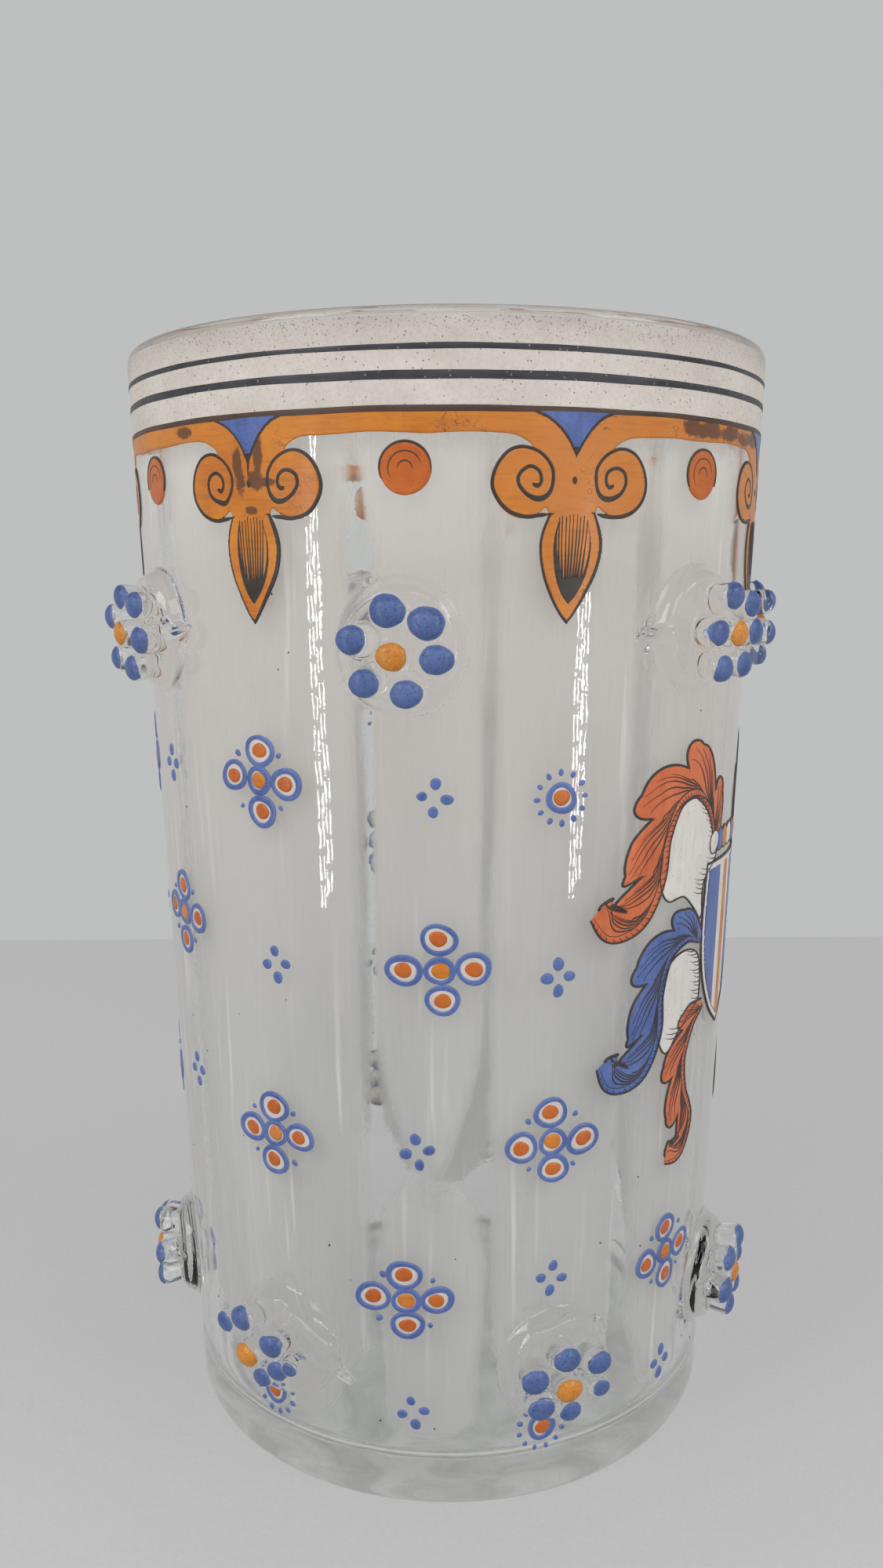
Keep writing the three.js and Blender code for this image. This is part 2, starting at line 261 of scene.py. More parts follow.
def flat_patch(field, low, high, step):
    """Triangles of the part of a flat box where field is under zero, cut along its zero line."""
    columns = max(2, round((high[0] - low[0]) / step))
    rows = max(2, round((high[1] - low[1]) / step))
    x, y = np.meshgrid(np.linspace(low[0], high[0], columns + 1), np.linspace(low[1], high[1], rows + 1))
    x, y = x.ravel(), y.ravel()
    value = field(x, y)
    inner = (x > low[0] + 1e-6) & (x < high[0] - 1e-6) & (y > low[1] + 1e-6) & (y < high[1] - 1e-6)
    near = np.flatnonzero((np.abs(value) < 0.3 * step) & inner)
    h = 0.1 * step
    slope_x = (field(x[near] + h, y[near]) - field(x[near] - h, y[near])) / (2 * h)
    slope_y = (field(x[near], y[near] + h) - field(x[near], y[near] - h)) / (2 * h)
    steep = slope_x**2 + slope_y**2
    steady = steep > 0.3
    near, slope_x, slope_y, steep = near[steady], slope_x[steady], slope_y[steady], steep[steady]
    x[near] -= value[near] * slope_x / steep
    y[near] -= value[near] * slope_y / steep
    value[near] = 0.0
    triangles = halved(squares_of(np.arange(x.size).reshape(rows + 1, columns + 1)))
    at = value[triangles]
    whole = triangles[(at <= 0).all(1) & (at < 0).any(1)]
    mixed = triangles[(at < 0).any(1) & (at > 0).any(1)]
    cuts, ends, fans = {}, [], []
    for corners in mixed.tolist():
        ring = []
        for i in range(3):
            p, q = corners[i], corners[(i + 1) % 3]
            if value[p] <= 0:
                ring.append(p)
            if value[p] * value[q] < 0:
                key = (p, q) if p < q else (q, p)
                if key not in cuts:
                    cuts[key] = x.size + len(ends)
                    ends.append(key)
                ring.append(cuts[key])
        fans += [[ring[0], ring[k], ring[k + 1]] for k in range(1, len(ring) - 1)]
    if ends:
        p, q = np.array(ends).T
        share = value[p] / (value[p] - value[q])
        x = np.concatenate([x, x[p] + share * (x[q] - x[p])])
        y = np.concatenate([y, y[p] + share * (y[q] - y[p])])
        whole = np.concatenate([whole, np.array(fans)])
    used, renumbered = np.unique(whole, return_inverse=True)
    return x[used], y[used], renumbered.reshape(-1, 3)


def quarter_round(share):
    """The height of a quarter circle, from 0 at its edge to 1."""
    return np.sqrt(1 - (1 - share) ** 2)


def raised(place, field, low, high, step, top, rounding, sunk=SUNK):
    """A raised patch of enamel: full height inside, rounded down to the glass at its outline."""
    x, y, triangles = flat_patch(field, low, high, step)
    depth = np.maximum(-field(x, y), 0.0)
    height = top * quarter_round(np.clip(depth / rounding, 0.0, 1.0))
    rim = open_edges(triangles)
    count = len(x)
    points = np.concatenate([on_wall(place, x, y, height), on_wall(place, x, y, sunk)])
    sides = [
        np.stack([rim[:, 1], rim[:, 0], rim[:, 0] + count], 1),
        np.stack([rim[:, 1], rim[:, 0] + count, rim[:, 1] + count], 1),
    ]
    faces = np.concatenate([triangles, triangles[:, ::-1] + count, *sides])
    return Shape(points, faces, edge=np.tile(depth, 2))


def painted(place, field, low, high, step, rounding, top):
    """A raised patch of paint over other enamel."""
    return raised(place, field, low, high, step, top, rounding, sunk=OVER_SUNK)


def tube(rings, closed):
    """A closed solid through rings of points; each ring goes round anticlockwise as seen from the start."""
    count, around = rings.shape[:2]
    points = rings.reshape(-1, 3)
    triangles = [ring_triangles(count, around, closed)]
    if not closed:
        first = np.arange(around)
        last = first + (count - 1) * around
        points = np.concatenate([points, np.stack([rings[0].mean(0), rings[-1].mean(0)])])
        triangles.append(fan(len(points) - 2, first))
        triangles.append(fan(len(points) - 1, last, backwards=True))
    return Shape(points, np.concatenate(triangles))


# Across a brush line: how far to the side, and how much of the full height
STROKE_SIDE = np.array([-1.0, -0.93, -0.6, 0.0, 0.6, 0.93, 1.0])
STROKE_LIFT = np.array([0.0, 0.74, 0.94, 1.0, 0.94, 0.74, 0.0])


def stroke(place, path, half_width, top, closed=False):
    """A raised brush line along a path of across and up points."""
    path = np.asarray(path, float)
    if closed:
        way = np.roll(path, -1, 0) - np.roll(path, 1, 0)
    else:
        way = np.gradient(path, axis=0)
    way = way / np.linalg.norm(way, axis=1)[:, None]
    left = np.stack([-way[:, 1], way[:, 0]], 1)
    half = np.broadcast_to(half_width, len(path))[:, None]
    x = path[:, 0, None] + half * STROKE_SIDE * left[:, 0, None]
    y = path[:, 1, None] + half * STROKE_SIDE * left[:, 1, None]
    made = tube(on_wall(place, x, y, OVER_SUNK + (top - OVER_SUNK) * STROKE_LIFT), closed)
    depth = half * (1 - np.abs(STROKE_SIDE))
    made.layers["edge"] = np.concatenate([depth.ravel(), np.zeros(0 if closed else 2)])
    return made


def curve_through(points, step=0.4, closed=False):
    """A smooth line through a few points."""
    points = np.asarray(points, float)
    if closed:
        points = np.concatenate([points[-1:], points, points[:2]])
    else:
        first, last = 2 * points[0] - points[1], 2 * points[-1] - points[-2]
        points = np.concatenate([[first], points, [last]])
    made = []
    for i in range(1, len(points) - 2):
        p0, p1, p2, p3 = points[i - 1 : i + 3]
        count = max(2, int(np.linalg.norm(p2 - p1) / step))
        t = np.arange(count)[:, None] / count
        made.append(
            0.5 * (2 * p1 + (p2 - p0) * t + (2 * p0 - 5 * p1 + 4 * p2 - p3) * t**2
                   + (3 * p1 - p0 - 3 * p2 + p3) * t**3)
        )
    if not closed:
        made.append(points[-2:-1])
    return np.concatenate(made)


# Fields over a flat place, in millimetres: under zero inside, and the distance outside

def rod(x, y, w, a, b, radius_a, radius_b):
    """A straight rod between two points in space whose radius changes evenly."""
    dx, dy, dw = (q - p for p, q in zip(a, b))
    t = np.clip(((x - a[0]) * dx + (y - a[1]) * dy + (w - a[2]) * dw) / (dx * dx + dy * dy + dw * dw), 0, 1)
    off = np.sqrt((x - a[0] - t * dx) ** 2 + (y - a[1] - t * dy) ** 2 + (w - a[2] - t * dw) ** 2)
    return off - (radius_a + (radius_b - radius_a) * t)


def capsule(x, y, a, b, radius_a, radius_b):
    """A straight stroke between two points whose half width changes evenly."""
    dx, dy = b[0] - a[0], b[1] - a[1]
    t = np.clip(((x - a[0]) * dx + (y - a[1]) * dy) / (dx * dx + dy * dy), 0, 1)
    return np.hypot(x - a[0] - t * dx, y - a[1] - t * dy) - (radius_a + (radius_b - radius_a) * t)


def inside_outline(x, y, outline):
    """Signed distance to a closed outline."""
    outline = np.asarray(outline, float)
    shape = np.shape(x)
    x, y = np.ravel(x), np.ravel(y)
    nearest = np.full(x.shape, 1e9)
    inside = np.zeros(x.shape, bool)
    for a, b in zip(outline, np.roll(outline, -1, 0)):
        dx, dy = b - a
        t = np.clip(((x - a[0]) * dx + (y - a[1]) * dy) / max(dx * dx + dy * dy, 1e-12), 0, 1)
        nearest = np.minimum(nearest, (x - a[0] - t * dx) ** 2 + (y - a[1] - t * dy) ** 2)
        if dy:
            crosses = (a[1] > y) != (b[1] > y)
            inside ^= crosses & (x < a[0] + (y - a[1]) * dx / dy)
    distance = np.sqrt(nearest)
    return np.where(inside, -distance, distance).reshape(shape)


def soft_min(a, b, fillet):
    """Joins two fields with a small fillet."""
    h = np.clip(0.5 + 0.5 * (b - a) / fillet, 0, 1)
    return b + (a - b) * h - fillet * h * (1 - h)


def soft_max(a, b, fillet):
    return -soft_min(-a, -b, fillet)


# Materials

GLASS_TINT = (0.985, 0.987, 0.986, 1.0)
ENAMEL_SHADE = (0.82, 0.81, 0.8, 1.0)
OPAL_TINT = (0.87, 0.87, 0.865, 1.0)
GLASS_IOR = 1.5

# How a pattern is squeezed along X, Y and Z
EVEN = (1, 1, 1)
ALONG = (0.35, 0.35, 3.5)
UPRIGHT = (2.2, 2.2, 0.35)


def linear(red, green, blue):
    """A colour as seen on a screen, 0 to 255, in the renderer's own numbers."""
    shares = [value / 255 for value in (red, green, blue)]
    return (*(s / 12.92 if s <= 0.04045 else ((s + 0.055) / 1.055) ** 2.4 for s in shares), 1.0)


def add(tree, kind, inputs=None, **settings):
    made = tree.nodes.new(kind)
    for name, value in settings.items():
        setattr(made, name, value)
    for name, value in (inputs or {}).items():
        if isinstance(value, bpy.types.NodeSocket):
            tree.links.new(value, made.inputs[name])
        else:
            made.inputs[name].default_value = value
    return made


def start_material(name):
    material = bpy.data.materials.new(name)
    material.use_nodes = True
    material.node_tree.nodes.clear()
    return material, material.node_tree


def finish_material(tree, surface):
    add(tree, "ShaderNodeOutputMaterial", {"Surface": surface})


def where(tree, squeeze=EVEN):
    """The place in the vase's own frame, squeezed."""
    place = add(tree, "ShaderNodeTexCoord").outputs["Object"]
    return add(tree, "ShaderNodeMapping", {"Vector": place, "Scale": squeeze}).outputs[0]


def noise(tree, scale, detail=3.0, roughness=0.55, distortion=0.0, squeeze=EVEN):
    inputs = {
        "Vector": where(tree, squeeze),
        "Scale": scale,
        "Detail": detail,
        "Roughness": roughness,
        "Distortion": distortion,
    }
    return add(tree, "ShaderNodeTexNoise", inputs).outputs["Fac"]


def span(tree, value, low, high, to_low=0.0, to_high=1.0):
    """Turns a stretch of values into another, held at its ends."""
    inputs = {"Value": value, "From Min": low, "From Max": high, "To Min": to_low, "To Max": to_high}
    return add(tree, "ShaderNodeMapRange", inputs, clamp=True).outputs[0]


def arithmetic(tree, operation, a, b):
    return add(tree, "ShaderNodeMath", {0: a, 1: b}, operation=operation).outputs[0]


def times(tree, a, b):
    return arithmetic(tree, "MULTIPLY", a, b)


def blend(tree, factor, a, b):
    """Two colours, blended. A mix node takes them at inputs 6 and 7 and gives the blend at output 2."""
    return add(tree, "ShaderNodeMix", {0: factor, 6: a, 7: b}, data_type="RGBA").outputs[2]


def layer(tree, name):
    return add(tree, "ShaderNodeAttribute", attribute_name=name).outputs["Fac"]


def bump(tree, height, distance):
    inputs = {"Height": height, "Distance": distance * MM, "Strength": 1.0}
    return add(tree, "ShaderNodeBump", inputs).outputs[0]


def shader(tree, kind, inputs=None):
    return add(tree, "ShaderNode" + kind, inputs).outputs[0]


def mix(tree, share, a, b):
    """Two shaders, mixed."""
    return shader(tree, "MixShader", {0: share, 1: a, 2: b})


def height_mm(tree):
    place = add(tree, "ShaderNodeTexCoord").outputs["Object"]
    return times(tree, add(tree, "ShaderNodeSeparateXYZ", {0: place}).outputs[2], 1 / MM)


def scratches(tree, scale, width):
    """Thin crooked lines here and there."""
    drawn = noise(tree, scale, 2.0, 0.6, 1.6)
    off = arithmetic(tree, "ABSOLUTE", arithmetic(tree, "SUBTRACT", drawn, 0.5), 0.0)
    line = span(tree, off, width * 0.5, width, 1.0, 0.0)
    return times(tree, line, span(tree, noise(tree, 75, 1.0), 0.56, 0.64))


def pinholes(tree, scale, size):
    """Small round holes, one where each cell of a random pattern has its middle near the surface."""
    cells = add(tree, "ShaderNodeTexVoronoi", {"Vector": where(tree), "Scale": scale}).outputs["Distance"]
    return span(tree, cells, size * 0.6, size, 1.0, 0.0)


def let_light_through(tree, surface, tint):
    """Lamps and the light from other surfaces pass straight through, so what is behind stays lit."""
    path = add(tree, "ShaderNodeLightPath").outputs
    clear = shader(tree, "BsdfTransparent", {"Color": tint})
    return mix(tree, path["Is Shadow Ray"], mix(tree, path["Is Diffuse Ray"], surface, clear), clear)


def glass_material(name, colour, ripple):
    """Clear glass with a slow ripple, wipe marks and the faintest change of colour."""
    material, tree = start_material(name)
    slow = noise(tree, 90, 2.0, squeeze=(1, 1, 0.25))
    uneven = arithmetic(tree, "ADD", slow, times(tree, noise(tree, 420, 2.0), 0.12))
    wipes = span(tree, noise(tree, 60, 4.0, squeeze=(1, 1, 0.4)), 0.45, 0.8, 0.0, 0.035)
    shade = blend(tree, noise(tree, 40, 2.0, squeeze=(1, 1, 0.15)), linear(*colour), linear(254, 255, 254))
    surface = shader(tree, "BsdfPrincipled", {
        "Base Color": shade,
        "Roughness": wipes,
        "IOR": GLASS_IOR,
        "Transmission Weight": 1.0,
        "Normal": bump(tree, uneven, ripple),
    })
    finish_material(tree, let_light_through(tree, surface, GLASS_TINT))
    return material


def seam_material():
    """Where two pieces of glass are fused there is no surface, so light passes straight on."""
    material, tree = start_material("fused_seam")
    finish_material(tree, shader(tree, "BsdfTransparent"))
    return material


def ground_material():
    """The foot's underside, ground flat: frosted and patchy, so it scatters pale light up into the glass."""
    material, tree = start_material("ground_foot")
    grain = noise(tree, 1400, 3.0, 0.7)
    colour = blend(tree, grain, linear(186, 187, 185), linear(210, 211, 209))
    patchy = span(tree, noise(tree, 70, 4.0, 0.6, 0.8), 0.42, 0.62, 0.0, 0.55)
    colour = blend(tree, patchy, colour, linear(158, 158, 156))
    frost = shader(tree, "BsdfDiffuse", {"Color": colour, "Normal": bump(tree, grain, 0.03)})
    glow = shader(tree, "BsdfTranslucent", {"Color": colour})
    finish_material(tree, let_light_through(tree, mix(tree, 0.5, frost, glow), GLASS_TINT))
    return material


GRAIN = linear(28, 26, 30)
SCUFF = linear(74, 46, 26)


def enamel_material(name, low, high, brush, roughness, coat=0.0, stain=None, pale_edge=None, grain=0.0,
                    holes=0.0, hole_colour=(70, 58, 50), scuffs=0.0, drift=None):
    """Fired enamel with brush streaks, mottling, pinholes and an uneven skin."""
    material, tree = start_material(name)
    low, high = linear(*low), linear(*high)
    streaks = noise(tree, 420, 4.0, 0.65, squeeze=brush)
    clouds = noise(tree, 130, 3.0)
    body = blend(tree, span(tree, clouds, 0.3, 0.7), low, high)
    body = blend(tree, span(tree, streaks, 0.35, 0.75, 0.0, 0.55), body, high)
    if drift:
        drifting = span(tree, noise(tree, 34, 2.0), 0.44, 0.6, 0.0, 0.75)
        body = blend(tree, drifting, body, linear(*drift))
    dark = (*(0.72 * c for c in low[:3]), 1.0)
    body = blend(tree, span(tree, streaks, 0.5, 0.22, 0.0, 0.45), body, dark)
    # Paler towards the outline: a painted highlight along the enamel's rounded edge.
    if pale_edge:
        edge_highlight = span(tree, layer(tree, "edge"), 0.0, 0.35, 0.5, 0.0)
        body = blend(tree, edge_highlight, body, linear(*pale_edge))
    if grain:
        body = blend(tree, span(tree, noise(tree, 2600, 2.0, 0.7), 0.52, 0.72, 0.0, grain), body, GRAIN)
    if stain:
        broken = times(tree, arithmetic(tree, "SUBTRACT", noise(tree, 260, 5.0, 0.7), 0.5), 2.6)
        browned = span(tree, arithmetic(tree, "ADD", layer(tree, "stain"), broken), 0.3, 0.6)
        body = blend(tree, times(tree, browned, 0.92), body, linear(*stain))
    if holes:
        body = blend(tree, times(tree, pinholes(tree, 900, holes), 0.7), body, linear(*hole_colour))
    if scuffs:
        body = blend(tree, times(tree, scratches(tree, 240, 0.012), scuffs), body, SCUFF)
    skin = arithmetic(tree, "ADD", times(tree, streaks, 0.6), noise(tree, 700, 2.0))
    surface = shader(tree, "BsdfPrincipled", {
        "Base Color": body,
        "Roughness": span(tree, clouds, 0.2, 0.8, roughness - 0.07, roughness + 0.09),
        "IOR": GLASS_IOR,
        "Coat Weight": coat,
        "Coat Roughness": 0.12,
        "Normal": bump(tree, skin, 0.035),
    })
    finish_material(tree, let_light_through(tree, surface, ENAMEL_SHADE))
    return material


NEAR_LIP = (213.2, 217.8)


def speckled_material():
    """The rim's pale enamel: greyish pink, rough, with dark pinholes that crowd towards the lip."""
    material, tree = start_material("speckled_rim")
    clouds = noise(tree, 90, 4.0, squeeze=(1, 1, 1.6))
    body = blend(tree, span(tree, clouds, 0.3, 0.7), linear(186, 177, 170), linear(203, 196, 188))
    sand = noise(tree, 1500, 3.0, 0.75)
    body = blend(tree, span(tree, sand, 0.45, 0.8, 0.0, 0.5), body, linear(158, 148, 141))
    patchy = span(tree, noise(tree, 60, 3.0, squeeze=(1, 1, 2.5)), 0.3, 0.65)
    near_lip = span(tree, height_mm(tree), *NEAR_LIP)
    grey = times(tree, near_lip, span(tree, patchy, 0.0, 1.0, 0.25, 0.62))
    body = blend(tree, grey, body, linear(152, 145, 140))
    crowd = arithmetic(tree, "MAXIMUM", near_lip, times(tree, patchy, 0.45))
    small = times(tree, pinholes(tree, 1900, 0.26), crowd)
    pits = arithmetic(tree, "MAXIMUM", pinholes(tree, 850, 0.15), small)
    body = blend(tree, times(tree, pits, 0.7), body, linear(84, 74, 70))
    skin = arithmetic(tree, "SUBTRACT", noise(tree, 1100, 3.0), pits)
    surface = shader(tree, "BsdfPrincipled", {
        "Base Color": body,
        "Roughness": span(tree, sand, 0.3, 0.7, 0.42, 0.6),
        "IOR": GLASS_IOR,
        "Normal": bump(tree, skin, 0.05),
    })
    finish_material(tree, let_light_through(tree, surface, ENAMEL_SHADE))
    return material


# The milky glass's colours, and the heights over which each comes in
OPAL_LOW = linear(195, 194, 193)
OPAL_HIGH = linear(207, 206, 203)
OPAL_WARM = linear(222, 215, 209)
OPAL_BRIGHT = linear(246, 243, 239)
OPAL_WARMS = (95, 165)
OPAL_BRIGHTENS = (178, 198)
OPAL_BREAKS_UP = (120, 185)
OPAL_CLOSES = (184, 194)
OPAL_FEATHER = 3.6  # how far in from its side a streak is fully milky
OPAL_THINNED = 1.4  # how much narrower it looks where it breaks up


def opal_material():
    """Milky glass: it scatters most of the light, fades at its sides and breaks into stripes higher up."""
    material, tree = start_material("opal")
    drawn = noise(tree, 105, 3.0, 0.6, squeeze=(1, 1, 0.05))
    fine = noise(tree, 420, 2.0, 0.6, squeeze=(1, 1, 0.04))
    broad = noise(tree, 42, 2.0, squeeze=(1, 1, 0.25))
    height = height_mm(tree)
    top = span(tree, height, *OPAL_BREAKS_UP)
    loose = times(tree, arithmetic(tree, "SUBTRACT", drawn, 0.52), span(tree, top, 0, 1, 6.0, 15.0))
    closes = span(tree, height, *OPAL_CLOSES, 1, -0.6)
    thinned = times(tree, span(tree, top, 0, 1, 0.0, OPAL_THINNED), closes)
    inner = arithmetic(tree, "SUBTRACT", layer(tree, "edge"), thinned)
    soft = span(tree, arithmetic(tree, "ADD", inner, loose), 0.5, OPAL_FEATHER)
    side = times(tree, soft, span(tree, layer(tree, "edge"), 0.1, 1.9))
    foot = span(tree, layer(tree, "foot"), 0.0, 2.6)
    lines = span(tree, fine, 0.56, 0.75, 1.0, 0.82)
    patches = arithmetic(tree, "ADD", broad, span(tree, top, 0, 1, 0.0, -0.1))
    haze = span(tree, patches, 0.3, 0.6, 0.74, 0.95)
    cloud = arithmetic(tree, "MAXIMUM", haze, span(tree, top, 0.3, 0.0, 0.0, 0.9))
    opacity = times(tree, times(tree, side, foot), times(tree, lines, cloud))
    colour = blend(tree, span(tree, broad, 0.35, 0.65), OPAL_LOW, OPAL_HIGH)
    colour = blend(tree, span(tree, height, *OPAL_WARMS, 0.0, 0.8), colour, OPAL_WARM)
    colour = blend(tree, span(tree, height, *OPAL_BRIGHTENS, 0.0, 0.6), colour, OPAL_BRIGHT)
    # Thin upright lines brightened towards OPAL_BRIGHT: painted glints, standing in for light caught by the
    # glass's upright waves.
    glint_lines = times(tree, span(tree, fine, 0.42, 0.3), span(tree, drawn, 0.56, 0.42))
    colour = blend(tree, times(tree, glint_lines, 0.6), colour, OPAL_BRIGHT)
    lit = shader(tree, "BsdfDiffuse", {"Color": colour})
    glow = shader(tree, "BsdfTranslucent", {"Color": colour})
    surface = mix(tree, opacity, shader(tree, "BsdfTransparent"), mix(tree, 0.45, lit, glow))
    finish_material(tree, let_light_through(tree, surface, OPAL_TINT))
    return material


clear_glass = glass_material("clear_glass", (250, 252, 251), 0.10)
prunt_glass = glass_material("prunt_glass", (250, 251, 251), 0.09)
fused_seam = seam_material()
ground_foot = ground_material()
opal = opal_material()
speckled = speckled_material()
amber = enamel_material(
    "amber", (170, 91, 0), (196, 119, 8), ALONG, 0.42, 0.12,
    stain=(88, 50, 26), holes=0.1, scuffs=0.75, drift=(186, 112, 44),
)
red = enamel_material("orange_red", (164, 71, 0), (183, 95, 12), EVEN, 0.38, 0.15, holes=0.12)
rust = enamel_material("rust", (172, 76, 34), (200, 104, 56), UPRIGHT, 0.4, 0.2, holes=0.1)
blue = enamel_material(
    "blue", (50, 75, 138), (80, 102, 160), UPRIGHT, 0.42, 0.2,
    pale_edge=(104, 124, 178), grain=0.4,
)
tip_blue = enamel_material(
    "tip_blue", (46, 70, 124), (74, 98, 150), EVEN, 0.45, 0.15,
    pale_edge=(98, 120, 170), grain=0.75,
)
tip_amber = enamel_material(
    "tip_amber", (176, 106, 14), (198, 128, 34), EVEN, 0.42, 0.15, grain=0.5,
)
black = enamel_material("black_line", (34, 28, 27), (56, 48, 44), ALONG, 0.4)
rim_line = enamel_material(
    "rim_line", (34, 34, 40), (58, 58, 66), ALONG, 0.42,
    holes=0.16, hole_colour=(150, 146, 142),
)
brown = enamel_material("brown_line", (48, 32, 22), (78, 56, 42), ALONG, 0.42)
white = enamel_material("white", (190, 186, 180), (202, 198, 194), UPRIGHT, 0.5, holes=0.12)
cream = enamel_material("cream", (180, 172, 166), (194, 187, 182), EVEN, 0.45)


# The vessel

VESSEL_SIDES = 384
ROW_STEP = 1.2
OTHER, OUTSIDE, INSIDE = 0, 1, 2  # where a row of points lies
FUSED, GROUND = 1, 2  # which of the vessel's materials a seam and the foot's underside have
PRUNT_OUTLINE_REACH = 20.0
SNAP_REACH = 0.62 * ROW_STEP


def arc(cx, cz, radius, start, end, steps):
    """Points of an arc in the profile, with angles in degrees from outwards, turning up."""
    angles = np.radians(np.linspace(start, end, steps))
    return [(cx + radius * math.cos(a), cz + radius * math.sin(a)) for a in angles]


def run(a, b, step):
    """Even points between two points, without the ends."""
    count = max(1, round(math.dist(a, b) / step))
    return [(a[0] + (b[0] - a[0]) * i / count, a[1] + (b[1] - a[1]) * i / count) for i in range(1, count)]


def vessel_profile():
    """Radius, height and place of each row of points, from the foot's middle round to the floor's."""
    rows = [(0.0, FOOT_HOLLOW, OTHER)]
    hollow = FOOT_RADIUS - FOOT_CORNER - 3.0
    rows += [(hollow * t, FOOT_HOLLOW * (1 - t**4), OTHER) for t in np.linspace(0.08, 1.0, 14)]
    corner = arc(wall_radius(FOOT_CORNER) - FOOT_CORNER, FOOT_CORNER, FOOT_CORNER, -90, -2, 9)
    rows += [(r, z, OTHER) for r, z in corner]
    lip = arc(RIM_RADIUS - LIP_ROUND, HEIGHT - LIP_ROUND, LIP_ROUND, 0, 90, 7)
    rows += [(r, z, OUTSIDE) for r, z in run(corner[-1], lip[0], ROW_STEP)]
    back = arc(RIM_RADIUS - WALL + LIP_ROUND, HEIGHT - LIP_ROUND, LIP_ROUND, 90, 180, 7)
    rows += [(r, z, OTHER) for r, z in lip + back]
    centre_z = FLOOR + INSIDE_CORNER
    foot = arc(wall_radius(centre_z) - WALL - INSIDE_CORNER, centre_z, INSIDE_CORNER, 0, -90, 9)
    rows += [(r, z, INSIDE) for r, z in run(back[-1], foot[0], 2 * ROW_STEP)]
    rows += [(r, z, OTHER) for r, z in foot]
    shares = np.linspace(0.92, 0.06, 16)
    rows += [(foot[-1][0] * t, FLOOR + FLOOR_RISE * (1 - t) ** 2, OTHER) for t in shares]
    rows.append((0.0, FLOOR + FLOOR_RISE, OTHER))
    return np.array(rows)


def snap_to_footprints(angle, height, footprints):
    """Moves wall points that are near a prunt's outline onto it; says which points moved."""
    moved = np.zeros(angle.shape, bool)
    h = 0.05
    for place, outline in footprints:
        x, y = across_and_up(place, angle, height)
        for i, j in np.argwhere(np.hypot(x, y) < PRUNT_OUTLINE_REACH):
            value = outline(x[i, j], y[i, j])
            if abs(value) > SNAP_REACH:
                continue
            slope_x = (outline(x[i, j] + h, y[i, j]) - value) / h
            slope_y = (outline(x[i, j], y[i, j] + h) - value) / h
            steep = max(slope_x * slope_x + slope_y * slope_y, 0.2)
            angle[i, j] -= value * slope_x / steep / wall_radius(place[1])
            height[i, j] -= value * slope_y / steep
            moved[i, j] = True
    return moved


def vessel_triangles(moved):
    """Triangles of the vessel's rows, with each square cut so that no cut crosses a prunt's outline."""
    number = numbered(*moved.shape)
    squares = squares_of(number)
    turn = moved.ravel()[squares[:, [1, 3]]].all(1)[:, None]
    first = np.where(turn, squares[:, [0, 1, 3]], squares[:, [0, 1, 2]])
    second = np.where(turn, squares[:, [1, 2, 3]], squares[:, [0, 2, 3]])
    foot_and_floor = fan(moved.size, number[0, :-1], backwards=True), fan(moved.size + 1, number[-1, :-1])
    return np.concatenate([first, second, *foot_and_floor])


def vessel_shape(footprints):
    rows = vessel_profile()
    inner = rows[1:-1]
    angle = np.tile(full_turn(VESSEL_SIDES), (len(inner), 1))
    radius, height = (np.tile(inner[:, k : k + 1], (1, VESSEL_SIDES)) for k in (0, 1))
    outside = np.flatnonzero(inner[:, 2] == OUTSIDE)
    inside = np.flatnonzero(inner[:, 2] == INSIDE)
    wall_angle, wall_height = angle[outside].copy(), height[outside].copy()
    moved = np.zeros(angle.shape, bool)
    moved[outside] = snap_to_footprints(wall_angle, wall_height, footprints)
    angle[outside], height[outside] = wall_angle, wall_height
    radius[outside] = wall_radius(height[outside]) + outside_wave(angle[outside], height[outside])
    radius[inside] += inside_wave(angle[inside], height[inside])
    points = round_axis(radius, angle, height).reshape(-1, 3)
    middles = [[0, 0, rows[0, 1]], [0, 0, rows[-1, 1]]]
    shape = Shape(np.concatenate([points, middles]), vessel_triangles(moved))

    square_rows = np.repeat(np.arange(len(inner) - 1), VESSEL_SIDES)
    on_outside = np.isin(np.concatenate([square_rows, square_rows]), outside)
    centre = shape.points[shape.triangles[: len(on_outside)]].mean(1)
    for place, outline in footprints:
        x, y = across_and_up(place, np.arctan2(centre[:, 0], -centre[:, 1]), centre[:, 2])
        close = np.flatnonzero(on_outside & (np.hypot(x, y) < PRUNT_OUTLINE_REACH))
        shape.seams[close[outline(x[close], y[close]) < 0]] = FUSED
    top_corner = shape.points[:, 2][shape.triangles].max(1)
    shape.seams[top_corner < FOOT_HOLLOW + 0.02] = GROUND
    return shape


# The prunts: a pad with a ring of studs round one in the middle, pressed from a hot blob

PAD_RADIUS = 11.4
PAD_HEIGHT = 3.0
PAD_BULGE = 0.4
PAD_BULGE_AT = 9.3
STUD_TOP = 8.9
STUD_MARGIN = 0.38
STUD_TAPER = 0.12
STUD_DOME = 3.4
MIDDLE_CAP = 2.3
RING_FOOT = 5.7
RING_TOP = 6.7
RING_STUDS = 6
PRUNT_STEP = 0.3
PRUNT_REACH = 16.4
PRUNT_BASE = -0.12
PRUNT_FILLET = 0.9
PRUNT_SEED = 100
CAP_RINGS = np.array([0.12, 0.3, 0.5, 0.68, 0.82, 0.92, 0.975, 1.0])
CAP_SIDES = 40
CAP_DROP = 1.6
CAP_THICKNESS = 0.2
CAP_SUNK = 0.07
AMBER_CAP_SEED = 500


